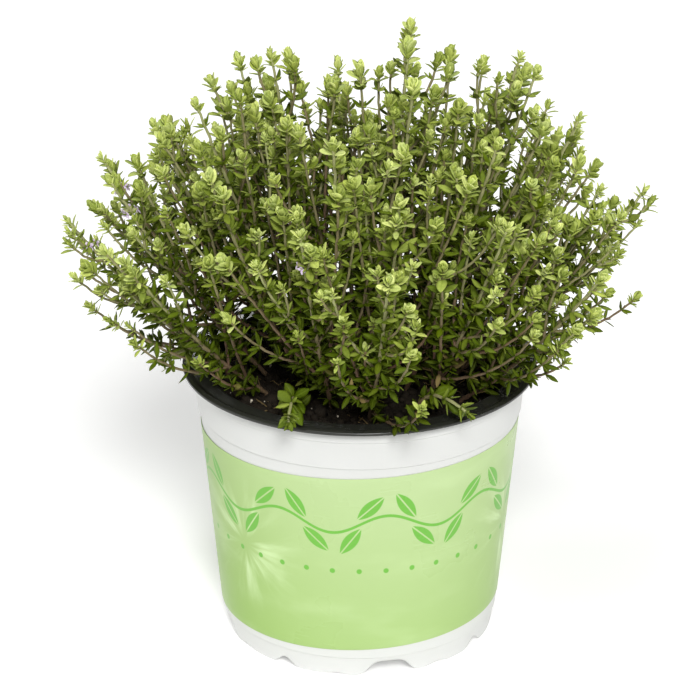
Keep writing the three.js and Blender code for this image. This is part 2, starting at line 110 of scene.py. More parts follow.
SOIL_BUMP = 0.7 * MM
SEAT_GAP = 0.3 * MM

# The stems' lines, as in the solids.
STEMS = 33
SPRIGS = (-116, -66, 187, -14, 83)
GOLDEN_ANGLE = math.pi * (3 - math.sqrt(5))
FIRST_AZIMUTH = 0.35
ROOT_CIRCLE = 43 * MM
ROOT_DEPTH = 14 * MM
ROOT_RISE = 0.8 * MM
SPREAD_LEFT = 100.5 * MM
SPREAD_RIGHT = 97.5 * MM
SPREAD_FRONT = 92 * MM
SPREAD_BACK = 85 * MM
BUSH_HEIGHT = 109 * MM
BUSH_LEAN = 0.06
BUSH_REACH = np.array([SPREAD_RIGHT, SPREAD_BACK, BUSH_HEIGHT])
BUSH_POWER = 0.8
CENTRE = np.array([0, 0, RIM_TOP])
SIDE_LIMIT = 73
FRONT_LIMIT = 68
STEM_STEPS = 4
SHOOT_RADIUS = 0.55 * MM
SHOOT_SHARES = (0.46, 0.6)
SHOOT_LENGTHS = (32 * MM, 18 * MM)
SHOOT_TURNS = (0, 0.4, -0.4, 0.8, -0.8, 1.6, -1.6)
HEAD_SHARES = (1, 0.8, 0.6)
HEAD_TURNS = (0, 0.4, 0.8, 1.2)
HEAD_OUTER = (3.9 * MM, 3.4 * MM)  # how far out and up the outer pair's tips lie
LEAF_TURNS = (0, 0.35, -0.35, 0.7, -0.7)
SOLID_LEAF_LENGTH = 8.4 * MM
LEAF_PAIRS = 5
LEAVES_FROM = 0.27
SPRIG_PAIRS = 2
SPRIG_LEAVES_FROM = 0.55
LAST_LEAVES = 0.93
BLOOM_STEMS = (17, 20, 22, 30)
BLOOM_SHARE = 0.88
HEAD_ROOM = 3 * MM
OUTER_ROOM = 1.5 * MM
INNER_ROOM = 2 * MM
RIM_ROOM = 0.8 * MM
SOIL_ROOM = 1.2 * MM
FULL_LEAF = 6 * MM  # the leaf length at which a tuft has its own full size
SAME_CORNER = 0.02 * MM  # how near a corner of a solid has to lie to count as the one looked for

# The film is thinner than its solid, and was wrapped a little askew.
FILM_THICK = 0.13 * MM
FILM_GAP = 0.12 * MM
FILM_SKEW = 1.6 * MM
FILM_LAP = 4 * MM
FILM_LIFT = 0.05 * MM
FILM_EDGE = 0.05 * MM

# Waves round the grow pot's rim as (number, phase), and in the soil as (pitch, phase, size).
BUCKLES = ((9, 0.4), (14, 2.1), (23, 4.0), (37, 1.2))
BUCKLE_DEPTH = 0.12 * MM
LUMP_WAVES = ((1.3, 0.4, 1.1), (2.3, 1.9, 0.7), (3.9, 3.1, 0.5), (6.1, 0.7, 0.33))
LUMP_HEIGHT = 0.35 * MM
CRUMB_SIZES = (0.5 * MM, 2.3 * MM)
SPECK_SIZES = (0.25 * MM, 0.75 * MM)


# ---- Settings ----


def setting(kind, **fixed):
    """A maker of settings of one kind, each from its name, its description and its default."""
    return lambda name, text, default: kind(name=name, description=text, default=default, **fixed)


colour = setting(FloatVectorProperty, subtype="COLOR", size=3, min=0, max=1)
length = setting(FloatProperty, unit="LENGTH", subtype="DISTANCE", min=0)
count = setting(IntProperty, min=0)
share = setting(FloatProperty, subtype="FACTOR", min=0, max=1)
strength = setting(FloatProperty, min=0)
slant = setting(FloatProperty, subtype="ANGLE")


class ThymePots(bpy.types.PropertyGroup):
    """What can be changed on the two pots."""

    white: colour("White plastic", "Colour of the cover pot", (0.69, 0.695, 0.68))
    black: colour("Black plastic", "Colour of the grow pot", (0.025, 0.026, 0.021))
    edge: length("Rounded edge", "Radius of the moulded edges", 0.35 * MM)
    sides: count("Sides", "Number of faces round each pot", 480)


class ThymeLabel(bpy.types.PropertyGroup):
    """What can be changed on the printed film."""

    pale: colour("Pale green", "Print colour in the middle", (0.485, 0.63, 0.31))
    deep: colour("Deep green", "Print colour toward the foot", (0.275, 0.455, 0.085))
    motif: colour("Motif", "Colour of the garland", (0.16, 0.46, 0.06))
    garland: length("Garland height", "Height of the garland's middle line", 60 * MM)
    repeats: count("Repeats", "Number of garland waves round the pot", 9)


class ThymeSoil(bpy.types.PropertyGroup):
    """What can be changed in the potting soil."""

    soil: colour("Soil", "Colour of moist peat", (0.009, 0.0065, 0.004))
    speck: colour("Specks", "Colour of the pale grains", (0.42, 0.38, 0.30))
    fibre: colour("Fibres", "Colour of the bark fibres", (0.10, 0.07, 0.03))
    crumbs: count("Crumbs", "Number of loose crumbs", 1500)
    specks: count("Specks", "Number of pale grains", 90)
    fibres: count("Fibres", "Number of bark fibres", 110)
    seed: count("Seed", "Start of the random draws", 11)


class ThymePlant(bpy.types.PropertyGroup):
    """What can be changed on the plant."""

    young: colour("Young leaves", "Colour of the leaves at the tips", (0.855, 0.945, 0.38))
    grown: colour("Half-grown leaves", "Colour of the leaves just below the tips", (0.465, 0.555, 0.12))
    mature: colour("Mature leaves", "Colour of the leaves up the stems", (0.099, 0.147, 0.0035))
    old: colour("Old leaves", "Colour of the lowest leaves", (0.027, 0.034, 0.0015))
    green_wood: colour("Green stems", "Colour of the stems near their tips", (0.42, 0.45, 0.19))
    brown_wood: colour("Woody stems", "Colour of the stems near the soil", (0.165, 0.107, 0.056))
    petal: colour("Petals", "Colour of the flowers", (0.74, 0.62, 0.80))
    leaf: length("Leaf length", "Length of a full-grown leaf", 7 * MM)
    slender: share("Leaf width", "Width of a leaf as a share of its length", 0.4)
    tufts: share("Leaf tufts", "Share of the leaves with a tuft of small ones in their axil", 0.9)
    twigs: share("Side shoots", "Share of the axils that grow a side shoot", 0.3)
    seed: count("Seed", "Start of the random draws", 5)


class ThymeStudio(bpy.types.PropertyGroup):
    """What can be changed in the studio."""

    floor: colour("Floor", "Colour of the floor", (0.93, 0.93, 0.92))
    glow: share("Floor glow", "How much the floor shines by itself", 0.22)
    sky: share("Sky light", "Strength of the even light from all round", 0.07)
    key: strength("Key light", "Strength of the main light", 2.66)
    top: strength("Top light", "Strength of the light from above", 0.6)
    side: strength("Side lights", "Strength of the light from each side", 0.45)
    back: strength("Back light", "Strength of the light from behind", 0.8)
    softness: slant("Softness", "How wide the lights are", math.radians(18))
    distance: length("Camera distance", "From the camera to the middle of the rim", 1.0)
    elevation: slant("Camera elevation", "Angle above the horizon", math.radians(23.6))


# ---- Meshes ----


def angles(sides):
    """A whole turn in equal steps."""
    return np.arange(sides) * 2 * math.pi / sides


def around(azimuth, radius, z=0.0):
    return np.array([radius * math.cos(azimuth), radius * math.sin(azimuth), z])


def mesh_object(name, points, quads=(), triangles=(), marks=None, slots=None):
    """An object from arrays of points and faces. marks are numbers kept with each point."""
    faces = [np.asarray(f, np.int32) for f in (quads, triangles) if len(f)]
    mesh = bpy.data.meshes.new(name)
    mesh.vertices.add(len(points))
    mesh.vertices.foreach_set("co", np.asarray(points, np.float32).ravel())
    corners = np.concatenate([f.ravel() for f in faces])
    totals = np.concatenate([np.full(len(f), f.shape[1], np.int32) for f in faces])
    starts = np.concatenate([[0], np.cumsum(totals)[:-1]]).astype(np.int32)
    mesh.loops.add(len(corners))
    mesh.loops.foreach_set("vertex_index", corners)
    mesh.polygons.add(len(totals))
    mesh.polygons.foreach_set("loop_start", starts)
    mesh.polygons.foreach_set("loop_total", totals)
    mesh.polygons.foreach_set("use_smooth", np.full(len(totals), True))
    if slots is not None:
        mesh.polygons.foreach_set("material_index", np.asarray(slots, np.int32))
    for mark, values in (marks or {}).items():
        attribute = mesh.attributes.new(mark, "FLOAT", "POINT")
        attribute.data.foreach_set("value", np.asarray(values, np.float32))
    mesh.update(calc_edges=True)
    piece = bpy.data.objects.new(name, mesh)
    bpy.context.scene.collection.objects.link(piece)
    return piece


def loft_faces(stops, sides, closed=False):
    """Quads between rings of points, and triangles to the two end points that come after all the rings."""
    ids = np.arange(stops * sides).reshape(stops, sides)
    turned = lambda row: np.roll(row, -1, axis=-1)
    low, high = (ids, np.roll(ids, -1, axis=0)) if closed else (ids[:-1], ids[1:])
    quads = np.stack([low, turned(low), turned(high), high], axis=-1).reshape(-1, 4)
    if closed:
        return quads, np.empty((0, 3), int)
    first = np.stack([np.full(sides, ids.size), turned(ids[0]), ids[0]], axis=-1)
    last = np.stack([np.full(sides, ids.size + 1), ids[-1], turned(ids[-1])], axis=-1)
    return quads, np.vstack([first, last])


def ringed(rings, closed=False):
    """Points, quads and triangles of a surface through rings of points, [ring, place in ring, xyz].

    An open row of rings ends in a point at both ends, and a closed one joins its last ring to its first.
    """
    points = rings.reshape(-1, 3)
    if not closed:
        points = np.vstack([points, rings[0].mean(axis=0), rings[-1].mean(axis=0)])
    return points, *loft_faces(*rings.shape[:2], closed)


def rounded(profile, radius, steps=3, closed=False):
    """The same row of [radius, height] points with each corner rounded off."""
    profile = np.asarray(profile, float)
    made = [] if closed else [profile[0]]
    order = range(len(profile)) if closed else range(1, len(profile) - 1)
    for i in order:
        before, corner, after = profile[i - 1], profile[i], profile[(i + 1) % len(profile)]
        ends = []
        for other in (before, after):
            gap = np.linalg.norm(other - corner)
            ends.append(corner + (other - corner) * min(radius / gap, 0.45))
        for u in np.linspace(0, 1, steps + 1):
            made.append((1 - u) ** 2 * ends[0] + 2 * u * (1 - u) * corner + u * u * ends[1])
    return np.array(made if closed else made + [profile[-1]])


def turned_rings(profile, sides):
    """Rings of points of a profile turned round the Z axis."""
    radius, height = np.asarray(profile).T[..., None]
    angle = angles(sides)
    return np.stack([radius * np.cos(angle), radius * np.sin(angle), height + 0 * angle], axis=-1)


def drill(piece, places, floor):
    """Cuts round drain holes through a pot's floor, each at an angle and a distance from the middle."""
    hole = [(DRAIN_RADIUS, floor - DRILL_ROOM), (DRAIN_RADIUS, floor + SHEET + DRILL_ROOM)]
    drills = [ringed(turned_rings(hole, DRAIN_SIDES) + around(*place)) for place in places]
    cutter = mesh_object("drill", *joined(drills))
    cut = piece.modifiers.new("drains", "BOOLEAN")
    cut.operation = "DIFFERENCE"
    cut.solver = "MANIFOLD"
    cut.object = cutter
    bpy.context.view_layer.update()
    drilled = piece.evaluated_get(bpy.context.evaluated_depsgraph_get())
    mesh = bpy.data.meshes.new_from_object(drilled)
    piece.modifiers.clear()
    mesh.materials.clear()
    piece.data = mesh
    bpy.data.objects.remove(cutter)


def joined(parts):
    """Points, quads and triangles of several meshes as one."""
    shift = np.cumsum([0] + [len(p) for p, _, _ in parts[:-1]])
    points = np.vstack([p for p, _, _ in parts])
    quads = np.vstack([q + s for (_, q, _), s in zip(parts, shift)])
    triangles = np.vstack([t + s for (_, _, t), s in zip(parts, shift)])
    return points, quads, triangles


def finished(piece, materials, slot, *nodes):
    """Gives a piece its materials, rides it on the only body and hides the solids that it replaces. Its
    slot is not used.
    """
    for look in materials:
        piece.data.materials.append(look)
    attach(piece, "root")
    if nodes:
        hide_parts(*nodes)
    return piece


# ---- Shader nodes ----


class Signal:
    """What a node gives out. A sign between two signals, or a signal and a number, adds a Math node."""

    def __init__(self, wires, socket):
        self.wires = wires
        self.socket = socket

    def __add__(self, other):
        return self.wires.math("ADD", self, other)

    def __sub__(self, other):
        return self.wires.math("SUBTRACT", self, other)

    def __rsub__(self, other):
        return self.wires.math("SUBTRACT", other, self)

    def __mul__(self, other):
        return self.wires.math("MULTIPLY", self, other)

    def __truediv__(self, other):
        return self.wires.math("DIVIDE", self, other)

    def __abs__(self):
        return self.wires.math("ABSOLUTE", self)


class Sockets:
    """A node's sockets by name. Reading one gives an output, and setting one feeds an input."""

    def __init__(self, wires, node):
        self.wires = wires
        self.node = node

    def __getitem__(self, key):
        return Signal(self.wires, self.node.outputs[key])

    def __setitem__(self, key, value):
        socket = self.node.inputs[key]
        if isinstance(value, Signal):
            self.wires.tree.links.new(value.socket, socket)
        elif socket.type == "RGBA":
            socket.default_value = (*value, 1)
        else:
            socket.default_value = value


class Wiring:
    """Adds nodes to a node tree and joins them."""

    def __init__(self, tree):
        self.tree = tree

    def node(self, kind, inputs=(), **settings):
        made = self.tree.nodes.new(kind)
        for key, value in settings.items():
            setattr(made, key, value)
        sockets = Sockets(self, made)
        for key, value in dict(inputs).items():
            sockets[key] = value
        return sockets

    def math(self, operation, *values):
        return self.node("ShaderNodeMath", enumerate(values), operation=operation)[0]

    def highest(self, a, b):
        return self.math("MAXIMUM", a, b)

    def apart(self, across, up):
        return self.math("SQRT", across * across + up * up)

    def ranged(self, value, low, high, to_low=0.0, to_high=1.0, smooth=False):
        kind = "SMOOTHSTEP" if smooth else "LINEAR"
        inputs = {"Value": value, "From Min": low, "From Max": high, "To Min": to_low, "To Max": to_high}
        return self.node("ShaderNodeMapRange", inputs, interpolation_type=kind)["Result"]

    def blend(self, factor, a, b, kind="MIX"):
        inputs = {"Factor": factor, 6: a, 7: b}  # the two colour inputs share their names with others
        return self.node("ShaderNodeMix", inputs, data_type="RGBA", blend_type=kind)[2]

    def ramp(self, value, stops):
        """A colour ramp, with its first and last stops first in the list."""
        made = self.node("ShaderNodeValToRGB", {"Fac": value})
        elements = made.node.color_ramp.elements
        for place, _ in stops[2:]:
            elements.new(place)
        for element, (place, shade) in zip(elements, sorted(stops, key=lambda stop: stop[0])):
            element.position = place
            element.color = (*shade, 1)
        return made["Color"]

    def noise(self, vector, scale, detail=2.0):
        inputs = {"Vector": vector, "Scale": scale, "Detail": detail}
        return self.node("ShaderNodeTexNoise", inputs)["Fac"]

    def mark(self, name):
        return self.node("ShaderNodeAttribute", attribute_name=name)["Fac"]

    def place(self):
        return self.node("ShaderNodeTexCoord")["Object"]

    def stretched(self, vector, scale):
        return self.node("ShaderNodeMapping", {"Vector": vector, "Scale": scale})["Vector"]

    def effect(self, name, *values):
        """A shared effect, with this material's own values for its inputs in their order."""
        return self.node("ShaderNodeGroup", enumerate(values), node_tree=shared_group(name))


def fill_grain(wires, given, made):
    """The faint unevenness of moulded or printed plastic: its tint, its gloss and its surface."""
    place = wires.place()
    broad = wires.noise(place, 38.0, 4.0)
    fine = wires.noise(place, given["Grain size"])
    scuffs = wires.noise(wires.stretched(place, (60.0, 60.0, 900.0)), 1.0, 3.0)
    gloss = wires.ranged(broad, 0.3, 0.7, given["Smoothest"], given["Roughest"])
    made["Tint"] = broad * 0.7 + fine * 0.3
    made["Gloss"] = gloss + wires.ranged(scuffs, 0.55, 0.85, smooth=True) * 0.06
    made["Height"] = fine * 0.6 + broad * 0.4


def fill_mottle(wires, given, made):
    """The uneven colour and surface of what grew or rotted: broad patches, fine cells and their relief."""
    place = wires.place()
    patches = wires.noise(place, given["Patch size"], 3.0)
    inputs = {"Vector": place, "Scale": given["Cell size"]}
    cells = wires.node("ShaderNodeTexVoronoi", inputs)["Distance"]
    made["Patches"] = wires.ranged(patches, 0.3, 0.7)
    made["Cells"] = wires.ranged(cells, 0.15, 0.6)
    made["Height"] = cells * 0.5 + patches * 0.5


# The effects that several materials share: what fills each, its inputs' defaults, and its outputs.
GRAIN = "Moulded grain"
MOTTLE = "Living mottle"
GRAIN_INPUTS = {"Grain size": 1400.0, "Smoothest": 0.25, "Roughest": 0.4}
MOTTLE_INPUTS = {"Patch size": 300.0, "Cell size": 3000.0}
EFFECTS = {
    GRAIN: (fill_grain, GRAIN_INPUTS, ("Tint", "Gloss", "Height")),
    MOTTLE: (fill_mottle, MOTTLE_INPUTS, ("Patches", "Cells", "Height")),
}


def shared_group(name):
    """The node group of a shared effect, built the first time that it is asked for."""
    if name in bpy.data.node_groups:
        return bpy.data.node_groups[name]
    fill, inputs, outputs = EFFECTS[name]
    tree = bpy.data.node_groups.new(name, "ShaderNodeTree")
    for title, default in inputs.items():
        socket = tree.interface.new_socket(title, in_out="INPUT", socket_type="NodeSocketFloat")
        socket.default_value = default
    for title in outputs:
        tree.interface.new_socket(title, in_out="OUTPUT", socket_type="NodeSocketFloat")
    wires = Wiring(tree)
    fill(wires, wires.node("NodeGroupInput"), wires.node("NodeGroupOutput"))
    return tree


def new_material(name):
    """A material with one Principled shader, and the wiring to feed it."""
    look = bpy.data.materials.new(name)
    look.use_nodes = True
    wires = Wiring(look.node_tree)
    return look, wires, Sockets(wires, look.node_tree.nodes["Principled BSDF"])


def surfaced(wires, shader, shade, roughness, height, strength, distance):
    """Feeds the shader. The bump's strength and distance are the same all over the surface."""
    shader["Base Color"] = shade
    shader["Roughness"] = roughness
    inputs = {"Strength": strength, "Distance": distance, "Height": height}
    shader["Normal"] = wires.node("ShaderNodeBump", inputs)["Normal"]


def scaled(shade, by):
    return tuple(c * by for c in shade)


def lightened(shade, by, plus):
    return tuple(min(1.0, c * by + plus) for c in shade)


def plastic(name, shade, smoothest, roughest, tint):
    """Satin moulded plastic, uneven in gloss and darker in places by a share."""
    look, wires, shader = new_material(name)
    grain = wires.effect(GRAIN, 1500.0, smoothest, roughest)
    base = wires.blend(grain["Tint"], scaled(shade, 1 - tint), shade)
    surfaced(wires, shader, base, grain["Gloss"], grain["Height"], 0.12, 0.1 * MM)
    shader["IOR"] = 1.5
    return look


# Each leaf on a wave of the garland: its place along the wave, its height in millimetres and its tilt.
GARLAND_LEAVES = ((0.10, 6.2, 0.75), (0.42, 6.4, 2.2), (0.60, -6.2, -0.75), (0.92, -6.4, -2.2))
GARLAND_SWING = 3.2 * MM
GARLAND_LINE = 0.55 * MM
GARLAND_LEAF = (6.4 * MM, 2.5 * MM)  # half its length and half its width
DOT_RADIUS = 0.95 * MM
DOT_DROP = 18 * MM
DOTS = 4  # to each wave
BURST_TURN = 0.84
BURST_HEIGHT = 44 * MM
PRINT_EDGE = 0.12 * MM


def printed_film(settings):
    """Pale green print under a glossy film: soft gradients, partly painted light and shade, and a garland
    of leaves round the pot.
    """
    look, wires, shader = new_material("Printed film")
    place = wires.node("ShaderNodeSeparateXYZ", {"Vector": wires.place()})
    angle = wires.math("ARCTAN2", place["X"], place["Y"] * -1.0)
    height = place["Z"]

    # The green is palest high on the front, a little to its right, and deepest low at the back. Deeper
    # toward the foot is the print's own; paler toward the front-right and deeper toward the sides and back
    # is painted light and shade, from a light at the front-right.
    # Painted light: this peaks where the light falls on the front, a little to the right.
    glow = wires.math("COSINE", angle - 0.25)
    rise = wires.ranged(height, LABEL_BOTTOM, LABEL_TOP)
    depth = wires.ranged(1.25 - glow * 0.7 - rise * 0.55, 0.0, 1.1)
    light = lightened(settings.pale, 1.18, 0.08)
    sweep = wires.noise(wires.stretched(wires.place(), (28.0, 28.0, 75.0)), 1.0, 3.0)
    shade = wires.blend(depth, settings.pale, settings.deep)
    shade = wires.blend(wires.ranged(sweep, 0.5, 0.8, 0.0, 0.22, True), shade, light)
    beam = wires.math("WRAP", angle + BURST_TURN, math.pi / 3, -math.pi / 3)
    shade = wires.blend(burst_mask(wires, beam, height), shade, light)

    # A wavy line with its leaves, and a row of dots under it.
    wave = LABEL_TOP_RADIUS * 2 * math.pi / settings.repeats
    turn = angle * (settings.repeats / (2 * math.pi))
    line = wires.math("SINE", turn * (2 * math.pi)) * GARLAND_SWING + settings.garland
    motif = edge_mask(wires, abs(height - line), GARLAND_LINE)
    for start, lift, tilt in GARLAND_LEAVES:
        across = wires.math("WRAP", turn - start, 0.5, -0.5) * wave
        up = height - settings.garland - lift * MM
        motif = wires.highest(motif, leaf_mask(wires, across, up, tilt, *GARLAND_LEAF))
    across = wires.math("WRAP", turn * float(DOTS), 0.5, -0.5) * (wave / DOTS)
    dot = wires.apart(across, height - (settings.garland - DOT_DROP))
    motif = wires.highest(motif, edge_mask(wires, dot, DOT_RADIUS))

    base = wires.blend(motif, shade, settings.motif)
    grain = wires.effect(GRAIN, 900.0, 0.24, 0.38)
    surfaced(wires, shader, base, grain["Gloss"], grain["Height"], 0.08, 0.1 * MM)
    shader["Specular IOR Level"] = 0.3
    return look


def burst_mask(wires, beam, height):
    """A soft burst of pale rays round a point, from the angle and the height away from it."""
    across, up = beam * LABEL_TOP_RADIUS, height - BURST_HEIGHT
    far = wires.apart(across, up)
    near = wires.highest(far, 0.5 * MM)
    inputs = {"X": across / near * 3.2, "Y": up / near * 3.2, "Z": far * 45.0}
    ray = wires.node("ShaderNodeCombineXYZ", inputs)[0]
    rays = wires.ranged(wires.noise(ray, 1.0, 4.0), 0.42, 0.8, 0.0, 0.8, True)
    core = wires.ranged(far, 1 * MM, 9 * MM, smooth=True)
    return rays * core * wires.ranged(far, 9 * MM, 30 * MM, 1.0, 0.0, True)


def edge_mask(wires, distance, reach):
    """1 within a distance, with a soft printed edge."""
    return wires.ranged(distance, reach - PRINT_EDGE, reach + PRINT_EDGE, 1.0, 0.0)


def leaf_mask(wires, across, up, tilt, half_length, half_width):
    """A pointed leaf with a bare midrib, tilted from the level by an angle."""
    cosine, sine = math.cos(tilt), math.sin(tilt)
    part = (across * cosine + up * sine) * (1 / half_length)
    beside = abs(up * cosine - across * sine)
    body = wires.ranged((1.0 - part * part) * half_width - beside, 0.0, 0.25 * MM)
    return body * wires.ranged(beside, 0.15 * MM, 0.35 * MM)


def soil_look(name, shade, pale):
    """Moist, crumbly matter: dark patches, paler dry points and a rough relief."""
    look, wires, shader = new_material(name)
    mottle = wires.effect(MOTTLE, 420.0, 2400.0)
    base = wires.blend(mottle["Patches"], shade, scaled(shade, 2.2))
    dry = wires.ranged(wires.noise(wires.place(), 1900.0, 3.0), 0.66, 0.78)
    roughness = wires.ranged(mottle["Patches"], 0.0, 1.0, 0.7, 0.95)
    base = wires.blend(dry * 0.35, base, pale)
    surfaced(wires, shader, base, roughness, mottle["Height"], 0.8, 0.6 * MM)
    shader["Specular IOR Level"] = 0.2
    return look


def leaf_look(settings):
    """Thyme leaf: lime green near the tips of the shoots, deeper further down, paler below, with veins."""
    look, wires, shader = new_material("Thyme leaf")
    age, tone, reach = wires.mark("age"), wires.mark("tone"), wires.mark("reach")
    across = abs(wires.mark("across"))
    ages = [(0.0, settings.old), (0.45, settings.mature), (1.0, settings.young), (0.8, settings.grown)]
    mottle = wires.effect(MOTTLE, 700.0, 4200.0)
    shade = wires.ranged(tone * 0.5 + mottle["Patches"] * 0.25, 0.0, 0.75)
    dim = wires.blend(shade, (0.54, 0.6, 0.5), (1.24, 1.19, 1.1))
    # The age mark of leaves other than the heads' also holds painted shade: it is lowered toward the middle
    # of the bush.
    varied = wires.blend(1.0, wires.ramp(age, ages), dim, "MULTIPLY")
    # A few of the oldest leaves have dried.
    dried = wires.ranged(tone, 0.93, 0.95) * wires.ranged(age, 0.15, 0.4, 1.0, 0.0)
    varied = wires.blend(dried, varied, (0.24, 0.17, 0.07))

    # The sunken midrib and the side veins, which run out and forward.
    rib = wires.ranged(across, 0.03, 0.2, 1.0, 0.0, True)
    waves = wires.math("SINE", (reach - across * 0.16) * 44.0)
    lines = wires.highest(rib, wires.ranged(waves, 0.55, 1.0) * 0.35)
    lifted = lightened(settings.mature, 1.5, 0.02)
    veined = wires.blend(lines * 0.3, varied, lifted)
    edged = wires.blend(wires.ranged(across, 0.86, 1.0) * 0.2, veined, lifted)
    below = wires.mark("under") * wires.ranged(age, 0.0, 0.8, 0.1, 0.35)
    base = wires.blend(below, edged, (0.42, 0.49, 0.12))
    roughness = wires.ranged(mottle["Cells"], 0.0, 1.0, 0.36, 0.55)
    surfaced(wires, shader, base, roughness, mottle["Cells"] * 0.4 - lines, 0.45, 0.12 * MM)
    shader["Specular IOR Level"] = 0.09
    return look


def wood_look(settings):
    """Thyme stem: brown bark in fine strips near the soil, turning grey-green and purplish further up."""
    look, wires, shader = new_material("Thyme stem")
    age, tone = wires.mark("age"), wires.mark("tone")
    brown, green = settings.brown_wood, settings.green_wood
    halfway = tuple((a + b) / 2 for a, b in zip(brown, green))
    base = wires.ramp(age, [(0.0, brown), (0.25, brown), (1.0, green), (0.55, halfway)])
    flush = wires.ranged(tone, 0.55, 0.9) * wires.ranged(age, 0.3, 0.8, 0.6, 0.2)
    base = wires.blend(flush, base, (0.17, 0.075, 0.05))
    strips = wires.noise(wires.stretched(wires.place(), (2600.0, 2600.0, 260.0)), 1.0, 3.0)
    bark = wires.ranged(strips, 0.4, 0.6) * wires.ranged(age, 0.1, 0.9, 0.6, 0.12)
    base = wires.blend(bark, base, scaled(brown, 0.45))
    mottle = wires.effect(MOTTLE, 800.0, 3200.0)
    roughness = wires.ranged(mottle["Patches"], 0.0, 1.0, 0.55, 0.8)
    surfaced(wires, shader, base, roughness, strips + mottle["Height"], 0.5, 0.2 * MM)
    return look


def petal_look(shade):
    """Thin lilac petal, paler toward its edge."""
    look, wires, shader = new_material("Thyme petal")
    mottle = wires.effect(MOTTLE, 900.0, 5000.0)
    deep = tuple(c * part for c, part in zip(shade, (0.75, 0.6, 0.85)))
    base = wires.blend(wires.ranged(wires.mark("reach"), 0.1, 0.8), deep, shade)
    base = wires.blend(mottle["Patches"] * 0.2, base, (0.9, 0.86, 0.92))
    roughness = wires.ranged(mottle["Cells"], 0.0, 1.0, 0.45, 0.6)
    surfaced(wires, shader, base, roughness, mottle["Height"], 0.2, 0.1 * MM)
    return look


def floor_look(shade, glow):
    """Matt studio paper, lit a little from behind."""
    look, wires, shader = new_material("Studio paper")
    grain = wires.effect(GRAIN, 700.0, 0.8, 0.9)
    shader["Base Color"] = wires.blend(grain["Tint"], scaled(shade, 0.985), shade)
    shader["Roughness"] = grain["Gloss"]
    shader["Emission Color"] = (1, 1, 1)
    shader["Emission Strength"] = glow
    return look


# ---- Pots and label ----


def notch_height(sides):
    """How high the foot ring's lower edge stands at each place round it."""
    angle = angles(sides)
    raised = np.zeros(sides)
    for i in range(FEET):
        azimuth = FIRST_NOTCH + i * NOTCH_PITCH
        notch = NARROW_NOTCH if i % 2 else WIDE_NOTCH
        for (top, bottom, height), middle in ((notch, azimuth), (SHALLOW_STEP, azimuth + NOTCH_PITCH / 2)):
            away = np.angle(np.exp(1j * (angle - math.radians(middle))))
            apart = np.abs(away) * (FOOT_RADIUS - FOOT_WIDTH / 2)
            slope = (bottom / 2 - apart) / (bottom - top) * 2 * height
            raised = np.maximum(raised, np.clip(slope, 0, height))
    for _ in range(3):
        raised = sum(np.roll(raised, k) for k in range(-2, 3)) / 5
    return raised


def moulded_pot(name, rings, drains, floor, look, slot, node):
    piece = mesh_object(name, *ringed(rings))
    drill(piece, drains, floor)
    return finished(piece, [look], slot, node)


def cover_pot(settings):
    """The white cover pot, with its moulded steps and its foot ring cut into eight feet."""
    inner = FOOT_RADIUS - FOOT_WIDTH
    corners = [
        (0, FLOOR), (inner, FLOOR), (inner, 0), (FOOT_RADIUS, 0),
        (BASE_RADIUS, FOOT_BEAD), (BASE_RADIUS + STEP, FOOT_BEAD), (LABEL_TOP_RADIUS, LABEL_TOP),
        (BELT_RADIUS, LOWER_BEAD), (BELT_RADIUS + STEP, LOWER_BEAD),
        (COLLAR_RADIUS - STEP, UPPER_BEAD), (COLLAR_RADIUS, UPPER_BEAD), (COVER_TOP_RADIUS, COVER_TOP),
        (COVER_TOP_RADIUS - SHEET, COVER_TOP), (LABEL_TOP_RADIUS - SHEET, LABEL_TOP),
        (BASE_RADIUS - SHEET, FLOOR + SHEET * 2), (BASE_RADIUS - SHEET * 2, FLOOR + SHEET),
        (0, FLOOR + SHEET),
    ]
    profile = rounded(corners, settings.edge)[1:-1]
    rings = turned_rings(profile, settings.sides)
    raised = notch_height(settings.sides)
    for ring, (radius, height) in zip(rings, profile):
        if height >= FLOOR or radius < inner - 0.1 * MM:
            continue
        lifted = raised * (1 - height / FLOOR)
        # The outside widens upward, so that what is lifted there also moves out.
        is_outside = radius > inner + 1 * MM
        wider = 1 + (BASE_RADIUS - FOOT_RADIUS) * lifted / FOOT_BEAD / radius * is_outside
        ring[:, :2] *= wider[:, None]
        ring[:, 2] = height + lifted
    drains = [(math.radians(FIRST_NOTCH + k * NOTCH_PITCH), DRAIN_CIRCLE) for k in range(FEET)]
    white = plastic("White plastic", settings.white, 0.3, 0.46, 0.06)
    return moulded_pot("moulded_cover_pot", rings, drains, FLOOR, white, "white_plastic", "cover_pot")


def label(settings, sides):
    """The printed film, with its ends lapped at the back."""
    slope = (LABEL_TOP_RADIUS - BASE_RADIUS - STEP) / (LABEL_TOP - FOOT_BEAD)
    inner = lambda z: BASE_RADIUS + STEP + (z - FOOT_BEAD) * slope + FILM_GAP
    heights = np.linspace(LABEL_BOTTOM, LABEL_TOP, 24)
    outside = [(inner(z) + FILM_THICK, z) for z in heights]
    inside = [(inner(z), z) for z in heights[::-1]]
    rings = turned_rings(rounded(outside + inside, FILM_EDGE, 2, closed=True), sides)
    angle = angles(sides)
    # It stands higher on its right, and wider there, because the pot widens upward.
    askew = FILM_SKEW * np.cos(angle)
    rings[..., :2] *= 1 + (slope * askew / LABEL_TOP_RADIUS)[:, None]
    rings[..., 2] += askew
    lap = np.abs(angle - math.pi / 2) * LABEL_TOP_RADIUS < FILM_LAP
    rings[..., :2] *= 1 + FILM_LIFT / LABEL_TOP_RADIUS * lap[:, None]
    piece = mesh_object("printed_label", *ringed(rings, closed=True))
    return finished(piece, [printed_film(settings)], "label_film", "label")


